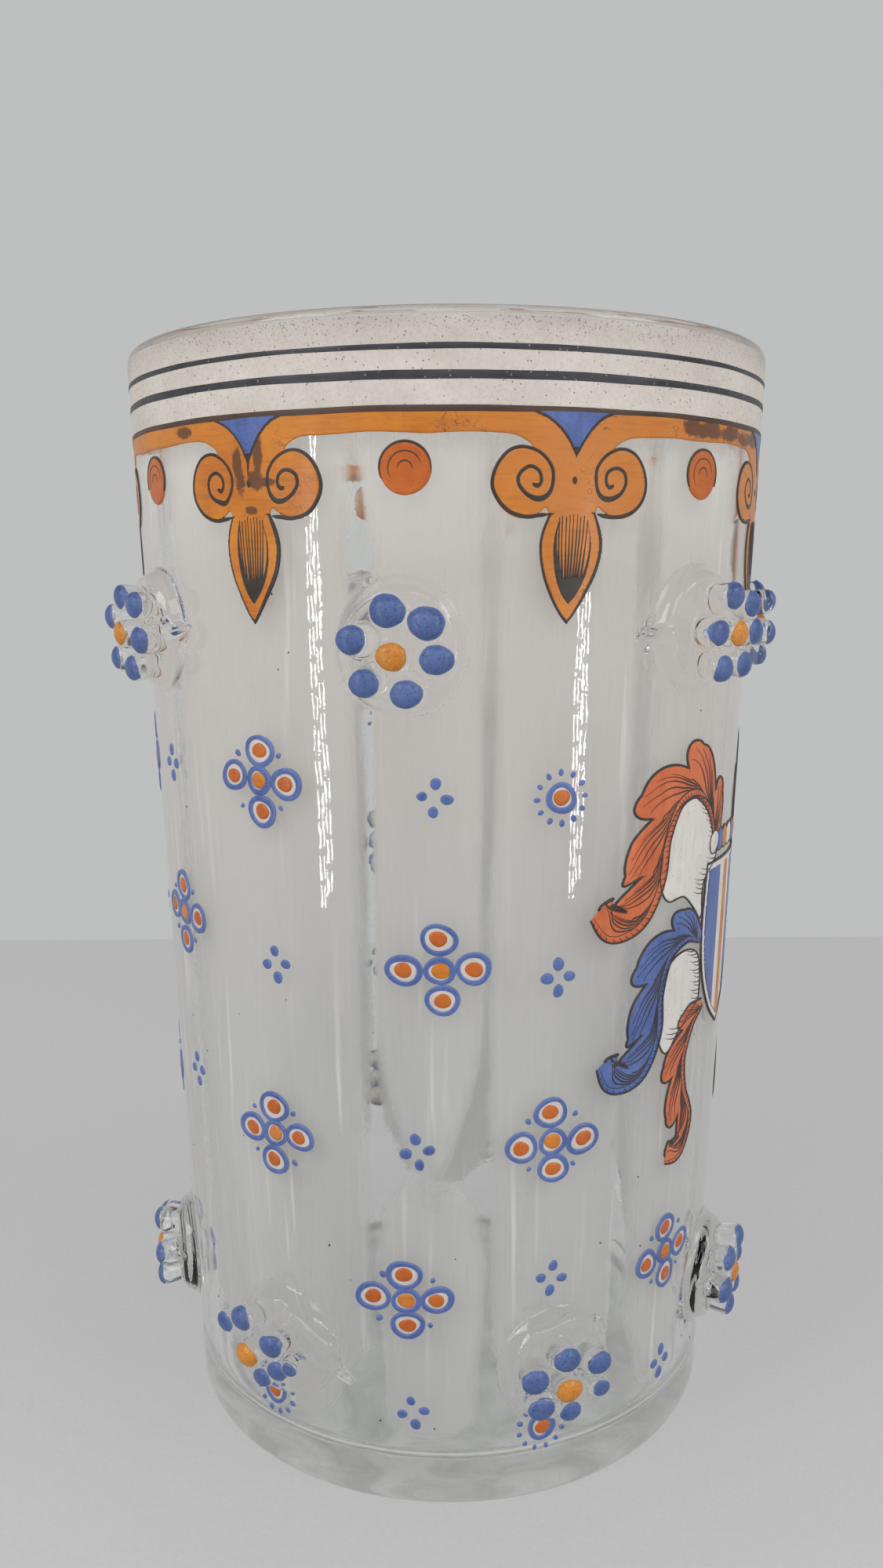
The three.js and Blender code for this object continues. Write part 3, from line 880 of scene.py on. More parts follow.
class Prunt:
    """What makes one prunt differ from the next."""

    def __init__(self, node, seed, twist=0.0, heads=None, middle=(0.0, 0.0), lumps=(), grooves=()):
        self.node = node
        self.place = middle_of(node)
        self.lumps = lumps
        self.grooves = grooves
        rng = np.random.default_rng(seed)
        self.waves = phases(rng, 3)
        if heads is None:
            heads = []
            for k in range(RING_STUDS):
                a = math.radians(twist + 60 * k + rng.uniform(-6, 6))
                reach = RING_TOP + rng.uniform(-0.45, 0.35)
                heads.append((reach * math.cos(a), reach * math.sin(a), rng.uniform(2.2, 2.65)))
        self.studs = []
        for x, y, cap in heads:
            foot = tuple(m + (h - m) * RING_FOOT / RING_TOP for m, h in zip(middle, (x, y)))
            self.studs.append((foot, (x, y), STUD_TOP - rng.uniform(0.1, 0.6), cap + STUD_MARGIN, cap))
        self.studs.append((middle, middle, STUD_TOP - 0.4, MIDDLE_CAP + STUD_MARGIN, MIDDLE_CAP))

    def pad(self, x, y, w):
        around = np.arctan2(y, x)
        wave = 0.22 * np.sin(2 * around + self.waves[0]) + 0.16 * np.sin(3 * around + self.waves[1])
        edge = PAD_RADIUS + wave + 0.06 * np.sin(7 * around + self.waves[2])
        slope = edge - 0.5 * w + 0.45 * np.exp(-np.maximum(w, -0.3) / 0.35)
        side = (np.hypot(x, y) - slope) * 0.9
        bulge = PAD_BULGE * np.exp(-(((np.hypot(x, y) - PAD_BULGE_AT) / 0.8) ** 2))
        dents = 0.14 * np.sin(0.6 * x + self.waves[0]) * np.sin(0.5 * y + self.waves[1])
        return soft_max(side, w - PAD_HEIGHT - bulge - dents, 1.1)

    def stud(self, x, y, w, stud):
        foot, head, tall, radius, _ = stud
        t = (w - 2.0) / (tall - 2.0)
        off = np.hypot(x - foot[0] - (head[0] - foot[0]) * t, y - foot[1] - (head[1] - foot[1]) * t)
        post = off - (radius - STUD_TAPER * np.clip(t, 0, 1))
        dome = np.sqrt(off**2 + (w - tall + STUD_DOME) ** 2) - STUD_DOME
        return soft_max(post, dome, 0.5)

    def field(self, x, y, w):
        value = self.pad(x, y, w)
        for lump in self.lumps:
            value = soft_min(value, rod(x, y, w, *lump), PRUNT_FILLET)
        for stud in self.studs:
            value = soft_min(value, self.stud(x, y, w, stud), PRUNT_FILLET)
        for a, b, radius in self.grooves:
            value = soft_max(value, -rod(x, y, w, a, b, radius, radius), PRUNT_FILLET / 2)
        return value

    def footprint(self, x, y):
        return self.field(x, y, 0.0 * x) + 0.04

    def solid(self, x, y, w):
        return np.maximum(self.field(x, y, w), PRUNT_BASE - w)


def surface_net(values, origin, step):
    """Points and triangles of the zero surface of a field that was taken on a box of points."""
    inside = values < 0
    size = np.array(values.shape) - 1
    total = np.zeros((*size, 3))
    hits = np.zeros(tuple(size))

    def corner(array, start):
        x, y, z = start
        return array[x : x + size[0], y : y + size[1], z : z + size[2]]

    for axis in range(3):
        for first in (0, 1):
            for second in (0, 1):
                start = [0, 0, 0]
                start[(axis + 1) % 3], start[(axis + 2) % 3] = first, second
                end = list(start)
                end[axis] = 1
                low, high = corner(values, start), corner(values, end)
                hit = (low < 0) != (high < 0)
                share = np.where(hit, low / np.where(hit, low - high, 1.0), 0.0)
                for k in range(3):
                    total[..., k] += share if k == axis else hit * start[k]
                hits += hit
    active = hits > 0
    number = np.full(tuple(size), -1)
    number[active] = np.arange(active.sum())
    points = origin + step * (np.argwhere(active) + total[active] / hits[active][:, None])
    unit = np.eye(3, dtype=int)
    quads = []
    for axis in range(3):
        b, c = (axis + 1) % 3, (axis + 2) % 3
        count = values.shape[axis]
        change = np.take(inside, range(count - 1), axis) != np.take(inside, range(1, count), axis)
        at = np.argwhere(change)
        at = at[(at[:, b] > 0) & (at[:, c] > 0) & (at[:, b] < size[b]) & (at[:, c] < size[c])]
        ring = [at, at - unit[b], at - unit[b] - unit[c], at - unit[c]]
        quad = np.stack([number[tuple(r.T)] for r in ring], 1)
        backwards = ~inside[tuple(at.T)]
        quad[backwards] = quad[backwards][:, ::-1]
        quads.append(quad)
    return points, halved(np.concatenate(quads))


def prunt_shape(prunt):
    low = np.array([-PRUNT_REACH, -PRUNT_REACH, -0.6])
    high = np.array([PRUNT_REACH, PRUNT_REACH, STUD_TOP + 0.6])
    counts = np.ceil((high - low) / PRUNT_STEP).astype(int) + 1
    axes = [low[k] + PRUNT_STEP * np.arange(counts[k]) for k in range(3)]
    x, y, w = np.meshgrid(*axes, indexing="ij")
    points, triangles = surface_net(prunt.solid(x, y, w), low, PRUNT_STEP)
    h = 0.02
    for _ in range(2):
        px, py, pw = points.T
        value = prunt.solid(px, py, pw)
        slope = np.stack([
            prunt.solid(px + h, py, pw) - prunt.solid(px - h, py, pw),
            prunt.solid(px, py + h, pw) - prunt.solid(px, py - h, pw),
            prunt.solid(px, py, pw + h) - prunt.solid(px, py, pw - h),
        ], 1) / (2 * h)
        move = value[:, None] * slope / np.maximum((slope**2).sum(1), 0.3)[:, None]
        points = points - np.clip(move, -0.5 * PRUNT_STEP, 0.5 * PRUNT_STEP)
    shape = Shape(on_wall(prunt.place, points[:, 0], points[:, 1], points[:, 2]), triangles)
    shape.seams[points[triangles][:, :, 2].max(1) < PRUNT_BASE + 0.05] = FUSED
    return shape


def stud_cap(prunt, stud, seed):
    """The dab of enamel on a stud's end, a shell that follows the dome."""
    _, head, tall, _, radius = stud
    p = phases(np.random.default_rng(seed), 3)
    around = full_turn(CAP_SIDES)
    wave = 1 + 0.03 * np.sin(2 * around + p[0]) + 0.025 * np.sin(3 * around + p[1])
    wave = wave + 0.012 * np.sin(7 * around + p[2])
    off = CAP_RINGS[:, None] * radius * wave
    x, y = head[0] + off * np.cos(around), head[1] + off * np.sin(around)
    w = np.full(x.shape, tall)
    for _ in range(24):
        w = np.maximum(w - np.clip(prunt.stud(x, y, w, stud), -0.4, 0.4), tall - CAP_DROP)
    uneven = 1 + 0.15 * np.sin(x + p[0]) * np.sin(y)
    body = CAP_THICKNESS * np.sqrt(np.clip(1 - CAP_RINGS**6, 0, 1))[:, None] * uneven
    upper = on_wall(prunt.place, x, y, w + body)
    lower = on_wall(prunt.place, x, y, w - CAP_SUNK)
    middles = [upper[0].mean(0), lower[0].mean(0)]
    count = x.size
    top = ring_triangles(*x.shape)
    first = np.arange(CAP_SIDES)
    last = first + count - CAP_SIDES
    after = np.roll(last, -1)
    triangles = np.concatenate([
        top,
        top[:, ::-1] + count,
        fan(2 * count, first),
        fan(2 * count + 1, first + count, backwards=True),
        np.stack([after, last, last + count], 1),
        np.stack([after, last + count, after + count], 1),
    ])
    depth = np.repeat((1 - CAP_RINGS) * radius, CAP_SIDES)
    points = np.concatenate([upper.reshape(-1, 3), lower.reshape(-1, 3), middles])
    return Shape(points, triangles, edge=np.concatenate([depth, depth, [radius, radius]]))


LEFT_NIB = (((-9.5, -1.0, 1.6), (-14.6, 0.4, 0.9), 2.2, 0.55),)
RIGHT_NIB = (((9.5, -0.5, 1.6), (14.2, 0.8, 0.9), 2.0, 0.5),)
LEFT_CREASE = (((-13.5, 1.0, 3.0), (-5.0, 1.6, 3.9), 0.75),)
RIGHT_CREASE = (((12.5, 1.4, 3.0), (6.0, 2.0, 3.9), 0.7),)
CENTRE_CREASE = (((3.0, 8.2, 4.1), (8.4, 5.2, 3.8), 0.9), ((6.4, 8.6, 3.3), (9.6, 4.0, 3.0), 0.55))
FLAP = (
    ((7.0, 3.0, 2.2), (14.6, -4.6, 0.8), 2.2, 0.8),
    ((4.0, 7.2, 2.8), (10.6, 3.0, 2.2), 1.5, 1.7),
)
FLAP_CREASE = (((1.0, 9.2, 3.6), (6.6, 4.6, 4.6), 0.8), ((8.8, 2.4, 4.0), (13.6, -2.6, 2.4), 0.5))
RIDGE = (
    ((-4.6, 9.2, 3.6), (1.0, 10.9, 3.9), 1.35, 1.25),
    ((1.0, 10.9, 3.9), (6.2, 9.2, 3.5), 1.25, 1.0),
    ((6.2, 9.2, 3.5), (8.6, 6.2, 2.9), 1.0, 0.6),
)
RIDGE_CREASE = (
    ((-5.2, 7.4, 3.6), (1.0, 9.0, 3.9), 0.75),
    ((1.0, 9.0, 3.9), (5.6, 7.4, 3.5), 0.75),
)

# The tops of the studs that show in front: across, up and the radius of the enamel dab
CENTRE_HEADS = [
    (-0.8, 6.4, 2.7), (4.8, 4.4, 2.75), (6.3, -1.5, 2.5),
    (1.8, -7.1, 2.4), (-4.5, -5.4, 2.35), (-6.3, 1.7, 2.35),
]
RIGHT_HEADS = [
    (1.4, 6.2, 2.4), (6.9, 4.6, 2.4), (-2.2, -0.2, 2.3),
    (9.2, -0.4, 2.4), (-0.8, -6.6, 2.3), (5.7, -6.2, 2.3),
]
LEFT_HEADS = [
    (0.5, 6.1, 2.3), (5.7, 4.7, 2.4), (-7.6, 2.2, 2.3),
    (7.6, -1.6, 2.4), (4.0, -7.0, 2.3), (-4.6, -5.6, 2.2),
]
RIDGED_HEADS = [
    (-0.9, 5.3, 2.3), (5.0, 3.2, 2.2), (-6.5, 2.2, 2.3),
    (5.2, -1.8, 1.6), (-0.2, -5.3, 1.9), (-5.4, -3.6, 2.2),
]
SQUEEZED_HEADS = [
    (-8.1, 4.0, 1.9), (-4.2, 6.3, 2.2), (2.0, 2.9, 2.2),
    (3.5, -1.5, 1.9), (0.4, -3.9, 1.8), (6.4, 0.2, 1.3),
]

PRUNT_FORMS = {
    "prunt_upper_1": dict(heads=CENTRE_HEADS, middle=(-0.3, -1.0), grooves=CENTRE_CREASE),
    "prunt_upper_2": dict(heads=RIGHT_HEADS, middle=(3.4, -0.6), lumps=LEFT_NIB, grooves=LEFT_CREASE),
    "prunt_upper_3": dict(twist=12, lumps=RIGHT_NIB),
    "prunt_upper_4": dict(twist=30, grooves=RIGHT_CREASE),
    "prunt_upper_5": dict(twist=5, lumps=LEFT_NIB),
    "prunt_upper_6": dict(twist=50, grooves=CENTRE_CREASE),
    "prunt_upper_7": dict(heads=LEFT_HEADS, middle=(-1.6, -0.8), lumps=RIGHT_NIB, grooves=RIGHT_CREASE),
    "prunt_lower_1": dict(heads=RIDGED_HEADS, middle=(-0.4, -1.0), lumps=RIDGE, grooves=RIDGE_CREASE),
    "prunt_lower_2": dict(twist=8, grooves=LEFT_CREASE),
    "prunt_lower_3": dict(twist=25, lumps=RIGHT_NIB),
    "prunt_lower_4": dict(twist=52, grooves=CENTRE_CREASE),
    "prunt_lower_5": dict(twist=40, lumps=LEFT_NIB),
    "prunt_lower_6": dict(twist=15, grooves=RIGHT_CREASE),
    "prunt_lower_7": dict(heads=SQUEEZED_HEADS, middle=(-3.5, -1.2), lumps=FLAP, grooves=FLAP_CREASE),
}

prunts = [Prunt(node, PRUNT_SEED + i, **form) for i, (node, form) in enumerate(PRUNT_FORMS.items())]
for number, prunt in enumerate(prunts):
    piece(prunt.node + "_glass", prunt_shape(prunt), [prunt_glass, fused_seam], "clear_glass", [prunt.node])
    blue_caps = [stud_cap(prunt, stud, 10 * number + k) for k, stud in enumerate(prunt.studs[:-1])]
    piece(prunt.node + "_blue_tips", joined(blue_caps), [tip_blue], "blue_enamel")
    amber_cap = stud_cap(prunt, prunt.studs[-1], AMBER_CAP_SEED + number)
    piece(prunt.node + "_amber_tip", amber_cap, [tip_amber], "amber_enamel")

vessel = vessel_shape([(prunt.place, prunt.footprint) for prunt in prunts])
piece("vessel_glass", vessel, [clear_glass, fused_seam, ground_foot], "clear_glass", ["vessel"])


# Bands and lines round the rim

HAND_WAVES = (2, 3, 5, 9, 14, 23)  # how many times round each of its waves repeats
BAND_SIDES = 720
BAND_ROW = 1.5
WIDEST_LINE = 3.0  # anything narrower is rounded like a brush line
UPPER_LINE = 213.4
UPPER_LINE_WIDTH = 0.95
LOWER_LINE = 209.1
LOWER_LINE_WIDTH = 1.35
BORDER_LINE_WIDTH = 1.0
BAND_TOP = 0.2
LINE_TOP = 0.28
AMBER_TOP = 0.2
BASE_COAT_TOP = 0.1


def wobble(seed, size):
    """A hand's unsteadiness along a line that goes once round."""
    rng = np.random.default_rng(seed)
    count = len(HAND_WAVES)
    starts = phases(rng, count)
    sizes = size * rng.uniform(0.5, 1.0, count) / np.sqrt(np.arange(1, count + 1))
    return lambda angle: sum(s * np.sin(n * angle + p) for s, n, p in zip(sizes, HAND_WAVES, starts))


def round_band(low, high, top, seed, unsteady, sunk=SUNK):
    """A band of enamel right round the wall between two heights."""
    around = full_turn(BAND_SIDES)
    middle = (low + high) / 2
    lower = low + wobble(seed, unsteady)(around)
    upper = high + wobble(seed + 1, unsteady)(around)
    side, lift = STROKE_SIDE, STROKE_LIFT
    if high - low >= WIDEST_LINE:
        rows = max(2, round((high - low) / BAND_ROW))
        side = np.concatenate([[-1.0, -0.995], np.linspace(-1, 1, rows + 1)[1:-1], [0.995, 1.0]])
        lift = np.array([0.0, 0.75] + [1.0] * (rows - 1) + [0.75, 0.0])
    half = (upper - lower)[:, None] / 2
    x = np.repeat((around * wall_radius(middle))[:, None], len(side), 1)
    y = ((lower + upper) / 2 - middle)[:, None] + half * side
    made = tube(on_wall((0.0, middle), x, y, sunk + (top - sunk) * lift), True)
    made.layers["edge"] = (half * (1 - np.abs(side))).ravel()
    return made


rim_low, rim_high = (corner.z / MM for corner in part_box("rim_enamel_band"))
amber_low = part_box("amber_band")[0].z / MM

speckled_band = round_band(rim_low, rim_high, BAND_TOP, 1, 0.08)
piece("rim_speckled_band", speckled_band, [speckled], "pale_enamel", ["rim_enamel_band"], sharp=60)
for name, middle, width, seed, material in (
    ("rim_upper_line", UPPER_LINE, UPPER_LINE_WIDTH, 11, rim_line),
    ("rim_lower_line", LOWER_LINE, LOWER_LINE_WIDTH, 21, rim_line),
    ("rim_border_line", rim_low - 0.1, BORDER_LINE_WIDTH, 31, brown),
):
    line = round_band(middle - width / 2, middle + width / 2, LINE_TOP, seed, 0.07, OVER_SUNK)
    piece(name, line, [material], "black_enamel")
base_coat = round_band(amber_low + 0.35, rim_low - 0.2, BASE_COAT_TOP, 41, 0.03)
piece("amber_base_coat", base_coat, [amber], "amber_enamel", ["amber_band"])


# Scroll pendants: band section, two arms, two volutes and a leaf, in amber with dark drawing

EYE_HEIGHT = HEIGHT - 27.25
BAND_FOOT = amber_low + 0.1 - EYE_HEIGHT
BAND_HEAD = rim_low + 0.2 - EYE_HEIGHT
HALF_PITCH = math.radians(PITCH_ANGLE / 2) * wall_radius(EYE_HEIGHT)
VOLUTE = (8.75, -0.3)
VOLUTE_RADIUS = 5.4
VOLUTE_STRETCH = 1.04
LEAF_TIP = -23.6
BODY_OUTLINE = [(15.5, 8.6), (12.6, 7.7), (9.6, 7.0), (7.2, 5.3), (6.4, 2.0), (5.2, -2.6), (4.2, -5.3)]
LEAF_OUTLINE = [(4.2, -5.3), (5.35, -8.2), (5.7, -11.2), (4.95, -15.0), (3.2, -18.8), (1.3, -22.0)]
BLUE_OUTLINE = [(9.2, 11.8), (6.6, 10.8), (4.7, 9.9), (2.9, 8.4), (1.35, 6.4), (0.55, 5.0)]
BLUE_APEX = 4.1
LANCET_OUTLINE = [(2.2, -5.8), (3.25, -8.6), (3.45, -12.0), (2.75, -15.8), (1.3, -18.8)]
LANCET_HEAD = -5.3
LANCET_TIP = -20.3
HAND_SIZE = 0.16  # how far a hand strays from the drawn shape
# Low and high corners of the boxes that the drawings lie in
LEAF_BOX = (-7.0, LEAF_TIP - 0.8), (7.0, -5.0)
LANCET_BOX = (-4.6, -21.0), (4.6, -5.0)
BLUE_LINE_BOX = (-8.6, 0.5), (8.6, BAND_HEAD)
BLUE_BOX = (-8.6, 1.0), (8.6, BAND_HEAD)
SPOT_BOX = (-1, -1.2), (1, 1.2)
PENDANT_BOX = (-HALF_PITCH, LEAF_TIP - 0.8), (HALF_PITCH, BAND_HEAD)
SPIRAL = [
    (4.5, -5.4), (6.3, -5.7), (8.6, -5.8), (11.4, -4.9), (13.4, -2.8), (14.0, -0.3), (13.2, 2.6),
    (11.2, 4.6), (8.6, 5.2), (5.9, 4.2), (4.2, 2.2), (3.8, 0.1), (4.4, -1.9), (5.6, -2.9), (7.2, -2.8),
    (8.9, -1.8), (9.8, -0.2), (9.3, 1.4), (7.7, 2.1), (6.2, 1.4), (5.8, -0.1), (6.5, -1.0), (7.3, -0.7),
]


def symmetric_outline(half, tip, head=None):
    """The smooth closed outline of a shape that is the same on both sides and pointed at its tip."""
    side = list(half) + [(0.0, tip)]
    if head is not None:
        side = [(0.0, head)] + side
    right = curve_through(side, 0.6)
    return np.concatenate([right, right[::-1][1:] * (-1, 1)])


body_side = curve_through(BODY_OUTLINE, 0.6)
body_side = np.concatenate([[(15.5, BAND_HEAD + 1)], body_side])
BODY = np.concatenate([body_side, body_side[::-1] * (-1, 1)])
LEAF = np.concatenate([symmetric_outline(LEAF_OUTLINE, LEAF_TIP), [(0.0, -3.0)]])
BLUE = symmetric_outline(BLUE_OUTLINE, BLUE_APEX)
LANCET = symmetric_outline(LANCET_OUTLINE, LANCET_TIP, LANCET_HEAD)


def amber_field(x, y):
    band = np.maximum(BAND_FOOT - y, y - BAND_HEAD)
    volutes = np.hypot(np.abs(x) - VOLUTE[0], (y - VOLUTE[1]) / VOLUTE_STRETCH) - VOLUTE_RADIUS
    centre = np.maximum(inside_outline(x, y, BODY), y - BAND_HEAD)
    value = soft_min(soft_min(volutes, centre, 0.5), inside_outline(x, y, LEAF), 0.2)
    return soft_min(value, band, 0.3)


def hand_drawn(field, seed, lean=0.0):
    """The same field as a hand would draw it, each time a little different."""
    p = phases(np.random.default_rng(seed), 4)

    def drawn(x, y):
        fade = np.clip((HALF_PITCH - np.abs(x)) / 4, 0, 1)
        dx = HAND_SIZE * fade * (np.sin(0.31 * y + p[0]) + 0.6 * np.sin(0.52 * x + p[1]))
        dy = HAND_SIZE * fade * (np.sin(0.33 * x + p[2]) + 0.6 * np.sin(0.47 * y + p[3]))
        return field(x + dx + lean * np.maximum(0, -5 - y), y + dy)

    return drawn


def outline_field(x, y):
    """The dark outline of the leaf, thicker on its right."""
    edge = amber_field(x, y)
    half = 0.24 + 0.16 * np.clip((x + 1) / 4, 0, 1) * np.clip((-5 - y) / 3, 0, 1)
    return np.maximum(np.maximum(np.abs(edge + half - 0.05) - half, y + 5.1), np.abs(x) - 6.6)


def blue_field(x, y, outline):
    return np.maximum(inside_outline(x, y, outline), y - BAND_HEAD + 0.35)


def blue_outline_field(x, y, outline, apex, stem_length):
    """The dark edge of the blue, running out in a point under it."""
    edge = np.abs(inside_outline(x, y, outline)) - 0.33
    stem = capsule(x, y, (0.0, apex + 0.9), (0.0, apex - stem_length), 0.5, 0.14)
    return np.maximum(soft_min(edge, stem, 0.2), y - BAND_HEAD + 0.3)


def spot_field(x, y):
    """The dark spot between the two volutes."""
    return np.hypot(x, y / 1.4) - 0.52


def lancet_field(x, y):
    """The dark of the leaf's hollow: solid at its tip and along its sides."""
    whole = inside_outline(x, y, LANCET)
    down = np.clip((-8 - y) / 8, 0, 1)
    solid = y + 15.8
    left_side = np.maximum(x + 0.2, -whole - 0.42 - 0.85 * down)
    right_side = np.maximum(0.2 - x, -whole - 0.22 - 0.55 * down)
    sides = np.maximum(np.minimum(left_side, right_side), y + 6.6)
    return np.maximum(whole, np.minimum(solid, sides))


def hatch_lines(place, rng, lean):
    """Fine upright strokes down the leaf's hollow, wider towards the dark tip."""
    made = []
    for k in range(9):
        x0 = -2.5 + 0.63 * k + rng.uniform(-0.07, 0.07)
        t = np.linspace(0, 1, 16)
        y = -5.5 - 0.25 * abs(x0) + rng.uniform(-0.3, 0.3) - (11.4 - 0.25 * abs(x0)) * t
        x = x0 * (1 - 0.28 * t**2) + 0.06 * np.sin(3 * t + x0) - lean * np.maximum(0, -5 - y)
        half = 0.085 + 0.17 * t**1.3 + 0.02 * np.sin(8 * t + k)
        made.append(stroke(place, np.stack([x, y], 1), half, LINE_TOP))
    return made


def stains(points, spots):
    """How stained each point is: spots are azimuth, height, half width and half height."""
    angle = azimuths(points)
    total = np.full(len(points), -1.0)
    for azimuth, height, wide, tall in spots:
        across = np.radians(nearest_turn(angle, azimuth)) * RIM_RADIUS
        reach = np.sqrt((across / wide) ** 2 + ((points[:, 2] - height) / tall) ** 2)
        total = np.maximum(total, np.clip(1.4 - reach, -1, 0.8))
    return total


STAIN_SPOTS = [
    (-34.4, 196.5, 0.9, 3.6), (-34.0, 192.5, 1.1, 2.6), (-30.4, 197.5, 1.0, 3.6), (-31.0, 193.4, 1.6, 1.6),
    (-28.6, 193.0, 1.8, 0.7), (-31.9, 188.4, 1.5, 0.8), (42.0, 202.3, 3.0, 1.3), (47.0, 202.2, 4.0, 1.4),
    (53.0, 202.2, 4.0, 1.4), (59.0, 202.0, 4.0, 1.4), (65.0, 202.0, 4.0, 1.3), (-47.0, 202.2, 2.2, 1.2),
    (126.0, 202.0, 6.0, 1.5), (171.0, 196.0, 1.4, 3.0), (221.0, 202.4, 5.0, 1.4), (276.0, 190.0, 1.6, 2.6),
    (250.0, 202.2, 4.0, 1.3),
]
PENDANT_LEAN = {1: 0.04, 3: -0.02, 5: 0.02}
BLUE_STRETCH = {2: 1.05, 4: 1.08, 7: 1.06}
BLUE_STEM = {7: 2.3, 4: 1.2, 5: 1.5}
BLUE_STEM_USUAL = 0.7
PENDANT_SEED = 40
HAND_SEED = 60


def volute_lines(place, k, rng):
    """The drawn line of each volute, which swells in its last turn and at its end."""
    made = []
    for side in (-1, 1):
        path = curve_through(np.array(SPIRAL) * (side, 1) + rng.uniform(-0.1, 0.1, (len(SPIRAL), 2)))
        t = np.linspace(0, 1, len(path))
        half = 0.31 + 0.03 * np.sin(9 * t + k) + 0.16 * np.exp(-(((t - 0.72) / 0.035) ** 2))
        half = half + 0.1 * np.exp(-(((t - 0.985) / 0.015) ** 2))
        half = half * np.clip((1.01 - t) / 0.015, 0.3, 1) * np.clip((t + 0.01) / 0.03, 0.4, 1)
        made.append(stroke(place, path, half, LINE_TOP))
    return made


def pendant(k):
    """The three pieces of one pendant: amber, dark drawing and the blue between its arms."""
    place = (FIRST_ROUNDEL + PITCH_ANGLE * (k - 0.5), EYE_HEIGHT)
    rng = np.random.default_rng(PENDANT_SEED + k)
    seed, lean, stretch = HAND_SEED + k, PENDANT_LEAN.get(k, 0.0), BLUE_STRETCH.get(k, 1.0)
    blue_edge = BLUE * (1, stretch) + (0, BLUE_OUTLINE[0][1] * (1 - stretch))
    blue_line = (blue_edge, blue_edge[:, 1].min(), BLUE_STEM.get(k, BLUE_STEM_USUAL))

    shape = raised(place, hand_drawn(amber_field, seed, lean), *PENDANT_BOX, 0.24, AMBER_TOP, 0.35)
    shape.layers["stain"] = stains(shape.points, STAIN_SPOTS)
    piece(f"pendant_amber_{k}", shape, [amber], "amber_enamel", [f"scroll_pendant_{k}"])

    dark = []
    for field, box, step, rounding in (
        (hand_drawn(outline_field, seed, lean), LEAF_BOX, 0.16, 0.12),
        (hand_drawn(lancet_field, seed, lean), LANCET_BOX, 0.12, 0.1),
        (hand_drawn(lambda x, y: blue_outline_field(x, y, *blue_line), seed), BLUE_LINE_BOX, 0.16, 0.12),
        (spot_field, SPOT_BOX, 0.12, 0.15),
    ):
        dark.append(painted(place, field, *box, step, rounding, LINE_TOP))
    dark[3:3] = hatch_lines(place, rng, lean) + volute_lines(place, k, rng)
    piece(f"pendant_drawing_{k}", joined(dark), [black], "black_enamel")

    fill = hand_drawn(lambda x, y: blue_field(x, y, blue_edge), seed)
    shape = painted(place, fill, *BLUE_BOX, 0.2, 0.2, LINE_TOP - 0.03)
    piece(f"pendant_blue_{k}", shape, [blue], "blue_enamel")


for k in range(1, REPEATS + 1):
    pendant(k)


# Roundels under the band, one between each two pendants

ROUNDEL_RADIUS = 4.3
ROUNDEL_BOX = (-4.8, -4.8), (4.8, 4.8)
ROUNDEL_TOP = 0.3
ROUNDEL_SEED = 80
# The drawn arcs: radius, start and end in degrees, half width
ROUNDEL_ARCS = [(4.25, -20, 200, 0.22), (2.75, 10, 215, 0.15), (1.2, -10, 190, 0.17)]


def roundel(k):
    """The two pieces of one roundel: red enamel and its dark arcs."""
    node = f"enamel_roundel_{k}"
    place = middle_of(node)
    rng = np.random.default_rng(ROUNDEL_SEED + k)
    p = rng.uniform(0, 6, 2)

    def field(x, y):
        around = np.arctan2(y, x)
        uneven = 1 + 0.015 * np.sin(2 * around + p[0]) + 0.012 * np.sin(3 * around + p[1])
        return np.hypot(x, y) - ROUNDEL_RADIUS * uneven

    shape = raised(place, field, *ROUNDEL_BOX, 0.24, ROUNDEL_TOP, 0.5)
    piece(f"roundel_{k}", shape, [red], "red_enamel", [node])
    arcs = []
    for radius, start, end, half in ROUNDEL_ARCS:
        angles = np.radians(np.linspace(start + rng.uniform(-12, 12), end + rng.uniform(-12, 12), 40))
        path = np.stack([radius * np.cos(angles), radius * np.sin(angles)], 1)
        arcs.append(stroke(place, path, half * (1.08 - np.linspace(-1, 1, 40) ** 4), ROUNDEL_TOP + 0.06))
    piece(f"roundel_drawing_{k}", joined(arcs), [brown], "black_enamel")


for k in range(1, REPEATS + 1):
    roundel(k)


# Milky streaks: most stand on the floor, one hangs from above, and a short one rises under it

OPAL_DEPTH = WALL - 0.2
OPAL_HALF = 0.8  # half thickness
OPAL_EDGE = 3.4  # how far in from its edge a streak is fully thick
OPAL_ROW = 1.6
OPAL_COLUMN = 1.6
OPAL_SPREAD = 2.6  # how much wider on each side than the CAD solid, low down
OPAL_TOP_SPREAD = 1.8  # and how much is added higher up
OPAL_TOP = 205.0
OPAL_TIP = 30.0
OPAL_FOOT_REACH = 13.0
HANGING_TAPER = 40.0  # height over which the hanging streak runs out to its low point
HANGING_LIFT = -2.0
HANGING_FADE = 0.3
HANGING_POINT = 0.85
SHORT_RISE = 13.0
SHORT_HEAD = 11.0  # height over which the short streak's head rounds off
SHORT_SPREAD = 3.0
LOW_WAVES = (17, 8.3, 3.7)
HIGH_WAVES = (19, 7.9, 4.1)
STREAK_SEED = 300
MM_PER_DEGREE = math.radians(1) * 59  # round the wall, a little under its middle


def streak_sides(node):
    """Heights and the two side azimuths of a streak's CAD solid, row by row."""
    points = np.array([v.co for v in frame["nodes"][node].data.vertices]) / MM
    middle = math.degrees(math.atan2(points[:, 0].sum(), -points[:, 1].sum()))
    azimuth = middle + np.mod(azimuths(points) - middle + 180, 360) - 180
    level = np.round(points[:, 2], 1)
    heights = np.unique(level)
    left = np.array([azimuth[level == h].min() for h in heights])
    right = np.array([azimuth[level == h].max() for h in heights])
    return heights, left, right


